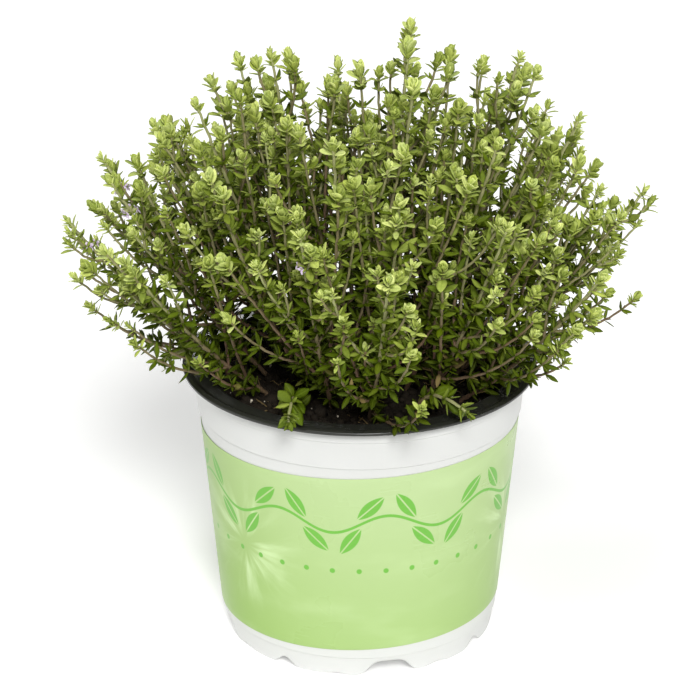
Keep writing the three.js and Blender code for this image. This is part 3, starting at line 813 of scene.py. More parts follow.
def grow_pot(settings):
    """The thin black grow pot, whose wide rim ends in a turned-down bead."""
    outer, top = RIM_INNER_RADIUS + SHEET, FLANGE + SHEET
    corners = [
        (0, GROW_FLOOR), (GROW_FLOOR_RADIUS, GROW_FLOOR),
        (outer, FLANGE - 1 * MM), (outer + 0.4 * MM, FLANGE),
        (RIM_RADIUS - 1 * MM, FLANGE), (RIM_RADIUS - 0.8 * MM, FLANGE - 0.2 * MM),
        (RIM_RADIUS, FLANGE - 0.2 * MM), (RIM_RADIUS, RIM_TOP - 0.6 * MM),
        (RIM_RADIUS - 1.4 * MM, RIM_TOP), (RIM_RADIUS - 2.8 * MM, top),
        (RIM_RADIUS - 4.6 * MM, top), (RIM_INNER_RADIUS + 1 * MM, top),
        (RIM_INNER_RADIUS, FLANGE), (RIM_INNER_RADIUS - 0.5 * MM, FLANGE - 6 * MM),
        (GROW_FLOOR_RADIUS - SHEET, GROW_FLOOR + SHEET), (0, GROW_FLOOR + SHEET),
    ]
    profile = rounded(corners, settings.edge, 4)[1:-1]
    rings = turned_rings(profile, settings.sides)
    # Thin sheet buckles a little where it turns over into the rim.
    buckle = sum(np.sin(angles(settings.sides) * k + phase) for k, phase in BUCKLES) / len(BUCKLES)
    flat = (profile[:, 1] > FLANGE + 0.5 * MM) & (profile[:, 0] < RIM_RADIUS - 2 * MM)
    rings[flat, :, 2] += buckle * BUCKLE_DEPTH
    drains = [(k * math.pi / 2, DRAIN_CIRCLE * 0.7) for k in range(4)]
    black = plastic("Black plastic", settings.black, 0.2, 0.4, 0.3)
    return moulded_pot("moulded_grow_pot", rings, drains, GROW_FLOOR, black, "black_plastic", "grow_pot")


# ---- Soil ----


def soil_height(x, y):
    """Height of the soil's top at a point, as in its solid."""
    r = np.hypot(x, y) / RIM_INNER_RADIUS
    crumbs = np.sin((x * 0.61 + y * 0.23) / MM) * np.cos((y * 0.57 - x * 0.19) / MM)
    return SOIL_EDGE + SOIL_MOUND * (1 - r * r) + SOIL_BUMP * crumbs


def ground(x, y):
    """The same with finer lumps on top, as crossed waves of several lengths."""
    lumps = 0
    for k, phase, size in LUMP_WAVES:
        ahead = np.sin(x / MM * k + phase + np.sin(y / MM * k * 0.7))
        lumps = lumps + size * ahead * np.cos(y / MM * k * 0.8)
    return soil_height(x, y) + lumps * LUMP_HEIGHT


def soil_body(settings):
    """The whole body of soil inside the grow pot, with a lumpy top."""
    sides, rows = 240, 70
    foot = GROW_FLOOR_RADIUS - SHEET - SEAT_GAP
    bottom = GROW_FLOOR + SHEET + SEAT_GAP
    taper = (RIM_INNER_RADIUS - GROW_FLOOR_RADIUS + SHEET) / (FLANGE - bottom)
    edge = foot + (SOIL_EDGE - bottom) * taper - 0.4 * MM
    radii = np.concatenate([[foot], edge * (1 - np.arange(rows) / rows)])
    rings = turned_rings(np.column_stack([radii, radii]), sides)
    rings[..., 2] = ground(rings[..., 0], rings[..., 1])
    rings[0, :, 2] = bottom
    piece = mesh_object("potting_soil", *ringed(rings))
    brown = soil_look("Potting soil", settings.soil, settings.fibre)
    return finished(piece, [brown], "soil", "soil")


def soil_spot(draws, margin):
    """A random place on the soil, that far inside the grow pot's edge."""
    radius = (RIM_INNER_RADIUS - margin) * math.sqrt(draws.random())
    azimuth = draws.random() * 2 * math.pi
    return radius * math.cos(azimuth), radius * math.sin(azimuth)


def lumps(draws, many, smallest, largest, lift):
    """Small uneven grains strewn over the soil, each a bent low sphere lifted by a share of its size."""
    rings, sides = 4, 7
    polar = (np.arange(rings) + 1) * math.pi / (rings + 1)
    shell = turned_rings(np.column_stack([np.sin(polar), np.cos(polar)]), sides)[::-1]
    parts = []
    for _ in range(many):
        x, y = soil_spot(draws, 2.5 * MM)
        size = smallest + (largest - smallest) * draws.random() ** 3
        bent = shell * (0.65 + 0.6 * draws.random((rings, sides, 1))) * draws.uniform(0.7, 1.2, 3)
        parts.append(ringed(bent * size + np.array([x, y, ground(x, y) + size * lift])))
    return joined(parts)


def fibres(draws, many):
    """Thin bent fibres of bark that lie on the soil."""
    parts = []
    u = np.linspace(-0.5, 0.5, 8)
    for _ in range(many):
        x, y = soil_spot(draws, 7 * MM)
        heading = draws.random() * 2 * math.pi
        span = draws.uniform(3, 11) * MM
        bend = draws.uniform(-0.5, 0.5)
        x = x + span * (u * math.cos(heading) - bend * u * u * math.sin(heading))
        y = y + span * (u * math.sin(heading) + bend * u * u * math.cos(heading))
        z = ground(x, y) + draws.uniform(0.3, 1.1) * MM
        radii = draws.uniform(0.1, 0.28) * MM * (1.1 - 1.6 * u * u)
        parts.append(rod(np.column_stack([x, y, z]), radii, 5, 0.0))
    return joined(parts)


# ---- Where the stems go ----


def draw(i, k):
    """The same repeatable draw between 0 and 1 as in the solids, for item i and purpose k."""
    wave = math.sin(i * 12.9898 + k * 78.233) * 43758.5453
    return wave - math.floor(wave)


def jitter(i, k, width):
    """A repeatable shift to either side, within a range of that width."""
    return width * (draw(i, k) - 0.5)


def unit(vector):
    return vector / np.linalg.norm(vector)


def bush_point(azimuth, part):
    """The bush's outer surface, from its crown at 0 to its lowest tips at 1."""
    across, away = math.cos(azimuth), math.sin(azimuth)
    limit = FRONT_LIMIT + (SIDE_LIMIT - FRONT_LIMIT) * across**2
    polar = math.radians(limit * max(part, 0))
    out = math.sin(polar) ** BUSH_POWER
    lean = 1 + BUSH_LEAN * out * (across - away)
    x = out * across * (SPREAD_RIGHT if across > 0 else SPREAD_LEFT)
    y = out * away * (SPREAD_BACK if away > 0 else SPREAD_FRONT)
    return np.array([x, y, RIM_TOP + BUSH_HEIGHT * math.cos(polar) ** BUSH_POWER * lean])


def stem_ends(i):
    """Root, bend and tip of a stem's curve."""
    part = math.sqrt((i + 0.5) / STEMS)
    azimuth = FIRST_AZIMUTH + i * GOLDEN_ANGLE + jitter(i, 1, 0.2)
    root = around(azimuth, ROOT_CIRCLE * part)
    root[2] = soil_height(root[0], root[1]) + ROOT_RISE
    tip = bush_point(azimuth + jitter(i, 4, 0.16), part + jitter(i, 2, 0.08))
    tip = CENTRE + (tip - CENTRE) * (1 + jitter(i, 3, 0.08))
    middle = root + (tip - root) * 0.52
    middle[2] -= (tip[2] - root[2]) * (0.02 + 0.14 * part)
    return np.array([root, middle, tip])


def sprig_ends(k):
    """The same of a low sprig, which hangs out over the rim."""
    azimuth = math.radians(SPRIGS[k])
    root = around(azimuth, ROOT_CIRCLE + 1.5 * MM)
    root[2] = soil_height(root[0], root[1]) + ROOT_RISE
    middle = around(azimuth, ROOT_CIRCLE + 6 * MM, RIM_TOP + 13 * MM)
    tip = around(azimuth + 0.12, RIM_RADIUS + (6 + 3 * draw(k, 9)) * MM, RIM_TOP + 6 * MM)
    return np.array([root, middle, tip])


def along_curve(ends, u):
    """Points of the curve through a root, past a bend, to a tip."""
    u = np.asarray(u, float)[..., None]
    return (1 - u) ** 2 * ends[0] + 2 * u * (1 - u) * ends[1] + u**2 * ends[2]


def heading(ends, u):
    """The curve's direction at share u of its way."""
    return unit(2 * (1 - u) * (ends[1] - ends[0]) + 2 * u * (ends[2] - ends[1]))


def stem_steps(ends):
    """The few straight steps in which a solid follows its stem's curve."""
    return along_curve(ends, np.linspace(0, 1, STEM_STEPS + 1))


def spot_on(points, u):
    """The place and direction at share u along such straight steps."""
    steps = len(points) - 1
    k = min(int(u * steps), steps - 1)
    at = points[k] + (points[k + 1] - points[k]) * (u * steps - k)
    return at, unit(points[k + 1] - points[k])


def sideways(along, turn):
    """A unit vector square to a direction, turned round it by an angle from the X axis."""
    side = unit(np.array([1.0, 0, 0]) - along * along[0])
    return side * math.cos(turn) + np.cross(along, side) * math.sin(turn)


def shoot_ends(points, u, turn, span):
    """Root, bend and tip of a solid's side shoot, from share u up its stem."""
    at, along = spot_on(points, u)
    out = sideways(along, turn)
    end = at + along * span * 0.8 + out * span * 0.42
    end[2] += span * 0.12
    return np.array([at, at + along * span * 0.32 + out * span * 0.3, end])


class Solid:
    """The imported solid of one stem. Its corners tell the turn of each of its shoots, heads and leaves."""

    def __init__(self, node):
        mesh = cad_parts[node].data
        flat = np.empty(len(mesh.vertices) * 3, np.float32)
        mesh.vertices.foreach_get("co", flat)
        self.corners = flat.reshape(-1, 3).astype(float)

    def near(self, point, reach=SAME_CORNER):
        """How many corners lie that near a point."""
        return int((np.linalg.norm(self.corners - point, axis=1) < reach).sum())


# ---- Rods and blades ----


def rod(points, radii, sides, turn):
    """A closed round rod along a row of points."""
    ahead = np.gradient(points, axis=0)
    ahead /= np.linalg.norm(ahead, axis=1)[:, None]
    side = np.array([1.0, 0, 0]) - ahead * ahead[:, :1]
    side /= np.linalg.norm(side, axis=1)[:, None]
    other = np.cross(ahead, side)
    angle = angles(sides) + turn
    rim = side[:, None] * np.cos(angle)[:, None] + other[:, None] * np.sin(angle)[:, None]
    square = 1 + 0.07 * np.cos(4 * (angle - turn))
    return ringed(points[:, None] + rim * (np.asarray(radii)[:, None] * square)[..., None])


# A blade's cross-section as (place across it, upper face or lower), and its stations from root to tip.
BLADE_RING = np.array([(-1, 0), (-0.55, 1), (0, 1), (0.55, 1), (1, 0), (0.55, -1), (0, -1), (-0.55, -1)])
BLADE_STATIONS = np.array([0.03, 0.15, 0.34, 0.56, 0.77, 0.93])
SCALE_RING = np.array([(-1, 0), (-0.45, 1), (0.45, 1), (1, 0), (0.45, -1), (-0.45, -1)])
SCALE_STATIONS = np.array([0.05, 0.28, 0.52, 0.74, 0.92])
TUFT_RING = np.array([(-1, 0), (0, 1), (1, 0), (0, -1)])
TUFT_STATIONS = np.array([0.04, 0.25, 0.5, 0.75, 0.93])
BLADE_THICK = 0.24 * MM
KEEL = 0.1 * MM

WOOD, LEAF, PETAL = 0, 1, 2
ROD_SIDES = 8
WOOD_STEP = 1.6 * MM
WANDER = 0.09 * MM  # how far the wood strays from its curve
KNOT = 0.12  # how much thicker it is at a knot
STEM_WOOD = 0.8 * MM  # radii of the wood
TWIN_WOOD = 0.55 * MM
SHOOT_WOOD = 0.5 * MM
STEM_TIP_WOOD = 0.42 * MM
TIP_WOOD = 0.36 * MM
TUFT_LEAF = 3.9 * MM
TUFT_WIDTH = 0.36
TIP_AGE = 0.66  # the most that a shoot's leaves below its head come to on the scale from old to young
SHORTEST_TWIG = 9 * MM

# Cross-section, stations and material of each kind of blade.
BLADE_KINDS = {
    "leaf": (BLADE_RING, BLADE_STATIONS, LEAF),
    "scale": (SCALE_RING, SCALE_STATIONS, LEAF),
    "tuft": (TUFT_RING, TUFT_STATIONS, LEAF),
    "petal": (BLADE_RING, BLADE_STATIONS, PETAL),
}

# How a blade is shaped: curl, cup, where it is widest and how slim it tapers.
# The head's has no curl, because each of its whorls has one of its own.
LEAF_SHAPE = (0.3, -0.3, 0.48, 0.85)
TUFT_SHAPE = (0.2, -0.1, 0.48, 0.85)
PETAL_SHAPE = (0.7, 0.1, 0.6, 0.6)
HEAD_SHAPE = (0.3, 0.55, 0.64)


def blades(rows, ring, stations):
    """Closed leaf blades from one row of numbers for each. Gives their points, faces and marks.

    A row holds root, direction of the tip, direction of the upper face, length, width, curl, cup, where
    it is widest, how slim it tapers, twist, age and tone.
    """
    rows = np.asarray(rows)
    many, sides, stops = len(rows), len(ring), len(stations)
    # Every array below is laid out as [blade, station, place in the cross-section], and then xyz.
    at, ahead, upper = (rows[:, None, None, k : k + 3] for k in (0, 3, 6))
    span, width, curl, cup, widest, slim, twist, age, tone = rows[:, 9:].T[..., None, None]
    beside = np.cross(upper, ahead)
    reach = np.concatenate([[0.0], stations, [1.0]])[:, None]
    across, face = ring.T

    outline = np.sin(math.pi * np.minimum(reach ** (math.log(0.5) / np.log(widest)), 1)) ** slim
    outline = outline * (1 - 0.5 * np.exp(-((reach / 0.12) ** 2)))
    outline[:, [0, -1]] = 0
    half = outline * width / 2
    bow = np.where(np.abs(curl) < 1e-3, 1e-3, curl)
    forward = span * np.sin(bow * reach) / bow
    drop = -span * (1 - np.cos(bow * reach)) / bow
    thick = BLADE_THICK * (1 - across**2) * np.where(across == 0, 0.75, 1) * face / 2
    keel = -KEEL * ((across == 0) & (face < 0))
    lift = drop + cup * half * across**2 + (thick + keel) * np.minimum(1, outline * 3)
    side = half * across
    spin = twist * reach
    flat = side * np.cos(spin) - (lift - drop) * np.sin(spin)
    rise = drop + side * np.sin(spin) + (lift - drop) * np.cos(spin)
    points = at + ahead * forward[..., None] + beside * flat[..., None] + upper * rise[..., None]

    body = points[:, 1:-1].reshape(many, -1, 3)
    points = np.concatenate([body, points[:, [0, -1], 0]], axis=1)
    per = points.shape[1]
    quads, triangles = loft_faces(stops, sides)
    shift = np.arange(many)[:, None, None] * per
    lay = lambda values, tip: np.tile([*np.broadcast_to(values, (stops, sides)).ravel(), 0, tip], many)
    marks = {
        "reach": lay(stations[:, None], 1),
        "across": lay(across, 0),
        "under": lay(face < 0, 0),
        "age": np.repeat(age, per),
        "tone": np.repeat(tone, per),
    }
    faces = ((part + shift).reshape(-1, part.shape[1]) for part in (quads, triangles))
    return points.reshape(-1, 3), *faces, marks


# ---- What grows on one piece ----

# Each whorl of four leaves in a head, from below: height and length in mm, lean in degrees and curl.
CLOSE_HEAD = (
    (-4.4, 5.6, 58, 0.3),
    (-3.0, 5.8, 42, 0.1),
    (-1.9, 5.8, 31, -0.1),
    (-0.9, 5.4, 24, -0.2),
    (0.0, 4.6, 17, -0.2),
    (0.8, 3.6, 10, -0.2),
)
OPEN_HEAD = (
    (-3.6, 5.6, 58, 0.35),
    (-2.2, 5.8, 44, 0.25),
    (-0.9, 5.4, 32, 0.15),
    (0.3, 4.4, 20, 0.1),
    (1.3, 3.2, 10, 0.0),
)


class Spray:
    """The wood, leaves and petals of one piece, gathered before its mesh is made."""

    def __init__(self, seed, settings):
        self.draws = np.random.default_rng(seed)
        self.settings = settings
        self.rods = []
        self.rows = {kind: [] for kind in BLADE_KINDS}

    def wood(self, ends, radii, ages, turn, foot=None):
        """A slightly knotted rod along a curve, from an optional foot below it."""
        span = np.linalg.norm(np.diff(along_curve(ends, np.linspace(0, 1, 9)), axis=0), axis=1).sum()
        many = max(5, int(span / WOOD_STEP))
        u = np.linspace(0, 1, many)
        wander = self.draws.normal(0, WANDER, (many, 3))
        wander[[0, -1]] = 0
        points = along_curve(ends, u) + wander
        thick = np.interp(u, (0, 1), radii) * (1 + KNOT * (np.arange(many) % 4 == 2))
        age = np.interp(u, (0, 1), ages)
        if foot is not None:
            points = np.vstack([foot, points])
            thick = np.concatenate([[radii[0] * 0.7], thick])
            age = np.concatenate([[ages[0]], age])
        self.rods.append((points, thick, age, turn))

    def blade(self, kind, at, along, out, lean, span, width, age, shape=LEAF_SHAPE):
        """A leaf that leaves its shoot at an angle, unless it would reach into the pot or the soil."""
        vary = self.draws.normal(0, 1, 5)
        lean = lean + 0.12 * vary[0]
        curl, cup, widest, slim = shape
        if cup < 0:
            # Painted shade: leaves are made darker toward the middle of the bush, where shade falls, other
            # than the cupped ones of the heads.
            depth = np.linalg.norm((at - CENTRE) / BUSH_REACH)
            age = age * np.interp(depth, (0.3, 0.6, 0.9), (0.3, 0.85, 1))
        for lift in (0, 0.35, 0.7):
            tilt = lean - lift
            ahead = along * math.cos(tilt) + out * math.sin(tilt)
            if all(clear_of_pot(at + ahead * span * s) for s in (0.35, 0.7, 1)):
                break
        else:
            return
        upper = along * math.sin(tilt) - out * math.cos(tilt)
        tone = float(self.draws.random())
        self.rows[kind].append([
            *at, *ahead, *upper, span * (1 + 0.07 * vary[1]), width * (1 + 0.09 * vary[2]),
            curl + 0.2 * vary[3], cup, widest, slim, 0.25 * vary[4],
            np.clip(age + 0.06 * vary[0], 0, 1), tone,
        ])

    def tuft(self, at, along, out, size, age, many):
        """The tuft of small leaves that grows in the axil of a leaf."""
        axis = unit(along * 0.75 + out * 0.65)
        other = unit(np.cross(along, out))
        up = unit(np.cross(other, axis))
        sides = ((other, 0.7, 1), (-other, 0.7, 1), (up, 0.45, 0.8), (-up, 0.45, 0.8))
        for side, lean, part in sides[:many]:
            span = TUFT_LEAF * size * part
            self.blade("tuft", at, axis, side, lean, span, span * TUFT_WIDTH, age, TUFT_SHAPE)

    def pair(self, at, along, turn, lean, span, width, age, many):
        """Two opposite leaves, most of them with a tuft in the axil."""
        for side in (0, math.pi):
            out = sideways(along, turn + side + self.draws.normal(0, 0.12))
            self.blade("leaf", at, along, out, lean, span, width, age)
            if self.draws.random() < self.settings.tufts:
                self.tuft(at, along, out, span / FULL_LEAF, min(1, age + 0.1), many)

    def head(self, tip, along, turn, size, bright, is_open):
        """The head of small pale leaves on a tip: a close one, or an open one of slimmer leaves."""
        size = size * self.draws.uniform(0.8, 1.06)
        for n, (height, span, lean, curl) in enumerate(OPEN_HEAD if is_open else CLOSE_HEAD):
            at = tip + along * height * MM * size
            age = bright * (0.86 + 0.14 * n / len(CLOSE_HEAD))
            # Two broad leaves face each other, and most gaps between them have a slimmer one.
            for corner in range(4):
                broad = corner % 2 == 0
                if not broad and self.draws.random() < 0.3:
                    continue
                long = span * MM * size * (1 if broad else 0.75) * self.draws.uniform(0.88, 1.1)
                wide = long * (0.4 if is_open or not broad else 0.66)
                out = sideways(along, turn + (n + corner) * math.pi / 2 + self.draws.normal(0, 0.14))
                kind = "scale" if broad else "tuft"
                shape = (curl, *HEAD_SHAPE)
                self.blade(kind, at, along, out, math.radians(lean), long, wide, age, shape)

    def branch(self, at, along, out, span, ages, head):
        """A leafy side shoot that bends up from an axil and ends in a head of its own."""
        wide = self.draws.uniform(0.36, 0.56)
        middle = at + along * span * 0.3 + out * span * wide * 0.8
        end = at + along * span * 0.8 + out * span * wide
        end[2] += span * 0.14
        ends = np.array([at, middle, inside_box(end)])
        if clear_of_pot(end) and clear_of_pot(along_curve(ends, 0.5)):
            self.shoot(ends, ages, head, SHOOT_WOOD, 0.0)

    def shoot(self, ends, ages, head, thick, forking):
        """A shoot along a curve, with its leaves, its own side shoots and its head."""
        self.wood(ends, (thick, TIP_WOOD), ages, 0.0)
        turn = self.draws.random() * math.pi
        self.dress(ends, turn, ages, forking)
        is_open = self.opens(ends[2])
        self.head(ends[2], heading(ends, 1), turn, head, self.draws.uniform(0.84, 1.0), is_open)

    def opens(self, tip):
        """Most of the low tips have an open head, and most of the high ones a close one."""
        return self.draws.random() < np.interp(high_up(tip), (0.2, 0.8), (0.85, 0.15))

    def dress(self, ends, turn, ages, forking):
        """Leaves up a shoot, closer together toward its tip, and side shoots from a share of its axils."""
        span = np.linalg.norm(ends[2] - ends[0])
        u, n = 3 * MM / span, 0
        while u < 1 - 4 * MM / span:
            size = self.settings.leaf * np.interp(u, (0, 1), (0.9, 0.76)) * self.draws.uniform(0.8, 1.12)
            age = float(np.interp(u, (0, 1), ages))
            at, along = along_curve(ends, u), heading(ends, u)
            lean = math.radians(62 - 12 * u)
            facing = turn + n * math.pi / 2
            wide = size * self.settings.slender * leaf_breadth(at) * self.draws.uniform(0.85, 1.2)
            self.pair(at, along, facing, lean, size, wide, age, 4 if u < 0.6 else 2)
            if 0.15 < u < 0.8 and self.draws.random() < forking:
                reach = np.clip(span * (1 - u) * self.draws.uniform(0.5, 1), SHORTEST_TWIG, 34 * MM)
                self.branch(at, along, sideways(along, facing), reach, (age, min(TIP_AGE, age + 0.2)), 0.7)
            u += np.interp(u, (0, 1), (8.0, 5.4)) * MM / span * self.draws.uniform(0.85, 1.15)
            n += 1

    def flower(self, at, along, out):
        """A small two-lipped flower on a green calyx."""
        mouth = at + out * 2.2 * MM
        tube = np.array([at, at + out * 1.1 * MM, mouth])
        self.rods.append((tube, np.array([0.35, 0.6, 0.75]) * MM, np.array([0.8, 0.85, 0.9]), 0.0))
        for turn, span in ((0, 1.5), (1.9, 1.9), (math.pi, 2.3), (-1.9, 1.9)):
            side = along * math.cos(turn) + np.cross(along, out) * math.sin(turn)
            root = mouth - out * 0.3 * MM
            self.blade("petal", root, out, side, 0.95, span * MM, 1.3 * MM, 0.5, PETAL_SHAPE)

    def mesh(self, name):
        """One object for the whole spray."""
        parts, marks, slots = [], [], []
        for points, radii, ages, turn in self.rods:
            parts.append(rod(points, radii, ROD_SIDES, turn))
            lay = lambda row: np.concatenate([np.repeat(row, ROD_SIDES), [row[0], row[-1]]])
            blank = np.zeros(len(parts[-1][0]))
            marks.append({
                "age": lay(ages), "reach": lay(np.linspace(0, 1, len(points))),
                "tone": blank + self.draws.random(), "across": blank, "under": blank,
            })
            slots.append(WOOD)
        for kind, (ring, stations, slot) in BLADE_KINDS.items():
            if self.rows[kind]:
                *made, marked = blades(self.rows[kind], ring, stations)
                parts.append(tuple(made))
                marks.append(marked)
                slots.append(slot)
        points, quads, triangles = joined(parts)
        faces = [np.full(len(part[k]), slot) for k in (1, 2) for part, slot in zip(parts, slots)]
        points = np.clip(points, LOW_CORNER + 0.05 * MM, HIGH_CORNER - 0.05 * MM)
        together = {key: np.concatenate([m[key] for m in marks]) for key in marks[0]}
        return mesh_object(name, points, quads, triangles, together, np.concatenate(faces))


# ---- Stems ----


def high_up(point):
    """A point's height as a share of the bush's."""
    return (point[2] - RIM_TOP) / BUSH_HEIGHT


def leaf_breadth(point):
    """How broad the leaves are at a place: slimmer than usual low down, broader at the top."""
    return np.interp(high_up(point), (0.1, 0.9), (0.82, 1.2))


def inside_box(point):
    """The point, or the nearest one that leaves room for a head inside the solids' box."""
    return np.clip(point, LOW_CORNER + HEAD_ROOM, HIGH_CORNER - HEAD_ROOM)


def clear_of_pot(point):
    """Over the rim a point has to stay above it, and over the soil above the crumbs."""
    radius = math.hypot(point[0], point[1])
    if radius > RIM_RADIUS + OUTER_ROOM:
        return True
    if radius > RIM_INNER_RADIUS - INNER_ROOM:
        return point[2] > RIM_TOP + RIM_ROOM
    return point[2] > soil_height(point[0], point[1]) + SOIL_ROOM


def solid_leaf(solid, at, along, turn, lean, span):
    """The turn at which the solid has this leaf, or None where it has none."""
    for change in LEAF_TURNS:
        out = sideways(along, turn + change)
        if solid.near(at + (along * math.cos(lean) + out * math.sin(lean)) * span):
            return turn + change
    return None


def dress_axis(spray, solid, number, ends, turn, is_sprig):
    """Leaves all the way up a stem, with the solid's own among them, and side shoots from some axils."""
    draws = spray.draws
    steps = stem_steps(ends)
    pairs = SPRIG_PAIRS if is_sprig else LEAF_PAIRS
    first = SPRIG_LEAVES_FROM if is_sprig else LEAVES_FROM
    gap = (LAST_LEAVES - first) / pairs
    slender = spray.settings.slender * (1.7 if is_sprig else 1)
    for n in range(-4, 2 * pairs + 1, 2 if is_sprig else 1):
        u = first + gap * n / 2
        if u < 0.05 or u > 0.96:
            continue
        lean = math.radians(58 - 14 * u)
        age = float(np.interp(u, (0, 0.3, 0.75, 1), (0.1, 0.25, 0.45, 0.66))) + (0.04 if is_sprig else 0)
        at, along = along_curve(ends, u), heading(ends, u)
        size = spray.settings.leaf * np.interp(u, (0, 0.3, 0.8, 1), (0.85, 1.0, 0.86, 0.72))
        size = size * draws.uniform(0.85, 1.12)
        facing = turn + (n / 2 + 1) * math.pi / 2
        solid_pair = n % 2 == 0 and 0 <= n < 2 * pairs
        if solid_pair:
            k = n // 2
            facing = turn + (k + 1) * math.pi / 2
            place, straight = spot_on(steps, u)
            solid_size = SOLID_LEAF_LENGTH * (0.85 + 0.3 * draw(number, 20 + k))
        for side in (0, math.pi):
            out, long = sideways(along, facing + side), size
            if solid_pair:
                found = solid_leaf(solid, place, straight, facing + side, lean, solid_size)
                if found is not None:
                    out, long = sideways(along, found), solid_size * 0.88
            spray.blade("leaf", at, along, out, lean, long, long * slender * leaf_breadth(at), age)
            branches = not is_sprig and draws.random() < spray.settings.twigs
            if branches and u < 0.88:
                tall = np.linalg.norm(ends[2] - ends[0]) * (1 - u)
                reach = np.clip(tall * draws.uniform(0.5, 1.0), SHORTEST_TWIG, 42 * MM)
                ages = (age, min(TIP_AGE, age + 0.15 + 0.2 * u))
                spray.branch(at, along, out, reach, ages, 0.66 + 0.26 * u)
            else:
                many = 2 if is_sprig or u > 0.7 else 4
                spray.tuft(at, along, out, long / FULL_LEAF, min(1, age + 0.1), many)


def dress_head(spray, solid, ends, turn, size, bright, is_open):
    """A head on a shoot's tip, at the turn and size that the solid's head has."""
    tip, along = ends[2], heading(ends, 1)
    found = (0.8, 0.0)
    for part in HEAD_SHARES:
        radius, height = (x * size * part for x in HEAD_OUTER)
        for change in HEAD_TURNS:
            if solid.near(tip + along * height + sideways(along, turn + change) * radius):
                found = (part, change)
    part, change = found
    spray.head(tip, along, turn + change, size * part, bright, is_open)


def twin_shoot(spray, number, ends, side):
    """A long thin shoot from low on a stem, which fills the bush beside the stem's own tip."""
    part = math.sqrt((number + 0.5) / STEMS)
    azimuth = FIRST_AZIMUTH + number * GOLDEN_ANGLE
    apart = side * spray.draws.uniform(0.12, 0.22) / max(part, 0.35)
    tip = bush_point(azimuth + apart, min(0.98, part + spray.draws.uniform(-0.16, 0.05)))
    tip = inside_box(CENTRE + (tip - CENTRE) * spray.draws.uniform(0.84, 0.99))
    root = along_curve(ends, spray.draws.uniform(0.06, 0.22))
    middle = root + (tip - root) * 0.5
    middle[2] -= (tip[2] - root[2]) * 0.1 * part
    spray.shoot(np.array([root, middle, tip]), (0.15, 0.62), 0.9, TWIN_WOOD, 0.12)


def solid_shoots(spray, solid, number, ends, turn):
    """The stem's two side shoots, each where the solid has it."""
    steps = stem_steps(ends)
    for k, (u, shortest) in enumerate(zip(SHOOT_SHARES, SHOOT_LENGTHS)):
        span = shortest + 10 * MM * draw(number, 6 + k)
        facing = turn + k * math.pi
        tries = [shoot_ends(steps, u, facing + change, span) for change in SHOOT_TURNS]
        hits = [solid.near(along_curve(t, 0.5), SHOOT_RADIUS * 1.1) for t in tries]
        if max(hits) == 0:
            continue
        shoot = tries[hits.index(max(hits))]
        spray.wood(shoot, (SHOOT_WOOD, TIP_WOOD), (0.4, 0.95), facing)
        spray.dress(shoot, facing, (0.35, 0.65), 0.15)
        dress_head(spray, solid, shoot, turn, 0.85, 1.0, spray.opens(shoot[2]))


def leafy_stem(number, node, settings, materials):
    """One stem from its foot in the soil to the heads of its shoots, which replaces its solid."""
    is_sprig = number >= STEMS
    ends = sprig_ends(number - STEMS) if is_sprig else stem_ends(number)
    turn = draw(number, 5) * math.pi
    solid = Solid(node)
    spray = Spray(settings.seed * 1000 + number, settings)
    foot = ends[0] - np.array([0, 0, ROOT_DEPTH])
    spray.wood(ends, (STEM_WOOD, STEM_TIP_WOOD), (0.0, 0.9), turn, foot)
    dress_axis(spray, solid, number, ends, turn, is_sprig)
    is_open = is_sprig or spray.opens(ends[2])
    dress_head(spray, solid, ends, turn, 1.0, 0.5 if is_sprig else 1.0, is_open)
    if not is_sprig:
        solid_shoots(spray, solid, number, ends, turn)
        for side in (-1, 1):
            twin_shoot(spray, number, ends, side)
    if number in BLOOM_STEMS:
        at, along = along_curve(ends, BLOOM_SHARE), heading(ends, BLOOM_SHARE)
        for change in (0, 1.4, -1.4, 2.8):
            spray.flower(at + along * change * 0.3 * MM, along, sideways(along, turn + change))
    name = node.replace("thyme_stem", "leafy_stem").replace("rim_sprig", "leafy_sprig")
    return finished(spray.mesh(name), materials, "foliage", node)


# ---- Operators ----


class THYME_OT_pots(bpy.types.Operator):
    """Make the white cover pot and the black grow pot"""

    bl_idname = "thyme.pots"
    bl_label = "Make the pots"

    def execute(self, context):
        settings = context.scene.thyme_pots
        cover_pot(settings)
        grow_pot(settings)
        return {"FINISHED"}


class THYME_OT_label(bpy.types.Operator):
    """Wrap the printed film round the cover pot"""

    bl_idname = "thyme.label"
    bl_label = "Make the label"

    def execute(self, context):
        label(context.scene.thyme_label, context.scene.thyme_pots.sides)
        return {"FINISHED"}


class THYME_OT_soil(bpy.types.Operator):
    """Fill the grow pot with soil and strew crumbs, pale specks and fibres over it"""

    bl_idname = "thyme.soil"
    bl_label = "Make the soil"

    def execute(self, context):
        settings = context.scene.thyme_soil
        soil_body(settings)
        draws = np.random.default_rng(settings.seed)
        tan = settings.fibre
        crumbs = lumps(draws, settings.crumbs, *CRUMB_SIZES, 0.25)
        specks = lumps(draws, settings.specks, *SPECK_SIZES, 0.6)
        for piece, look, mesh, shade, dry in (
            ("soil_crumbs", "Soil crumbs", crumbs, scaled(settings.soil, 1.25), tan),
            ("pale_specks", "Pale grains", specks, settings.speck, (0.7, 0.66, 0.55)),
            ("bark_fibres", "Bark fibres", fibres(draws, settings.fibres), tan, (0.3, 0.2, 0.1)),
        ):
            finished(mesh_object(piece, *mesh), [soil_look(look, shade, dry)], "soil")
        return {"FINISHED"}


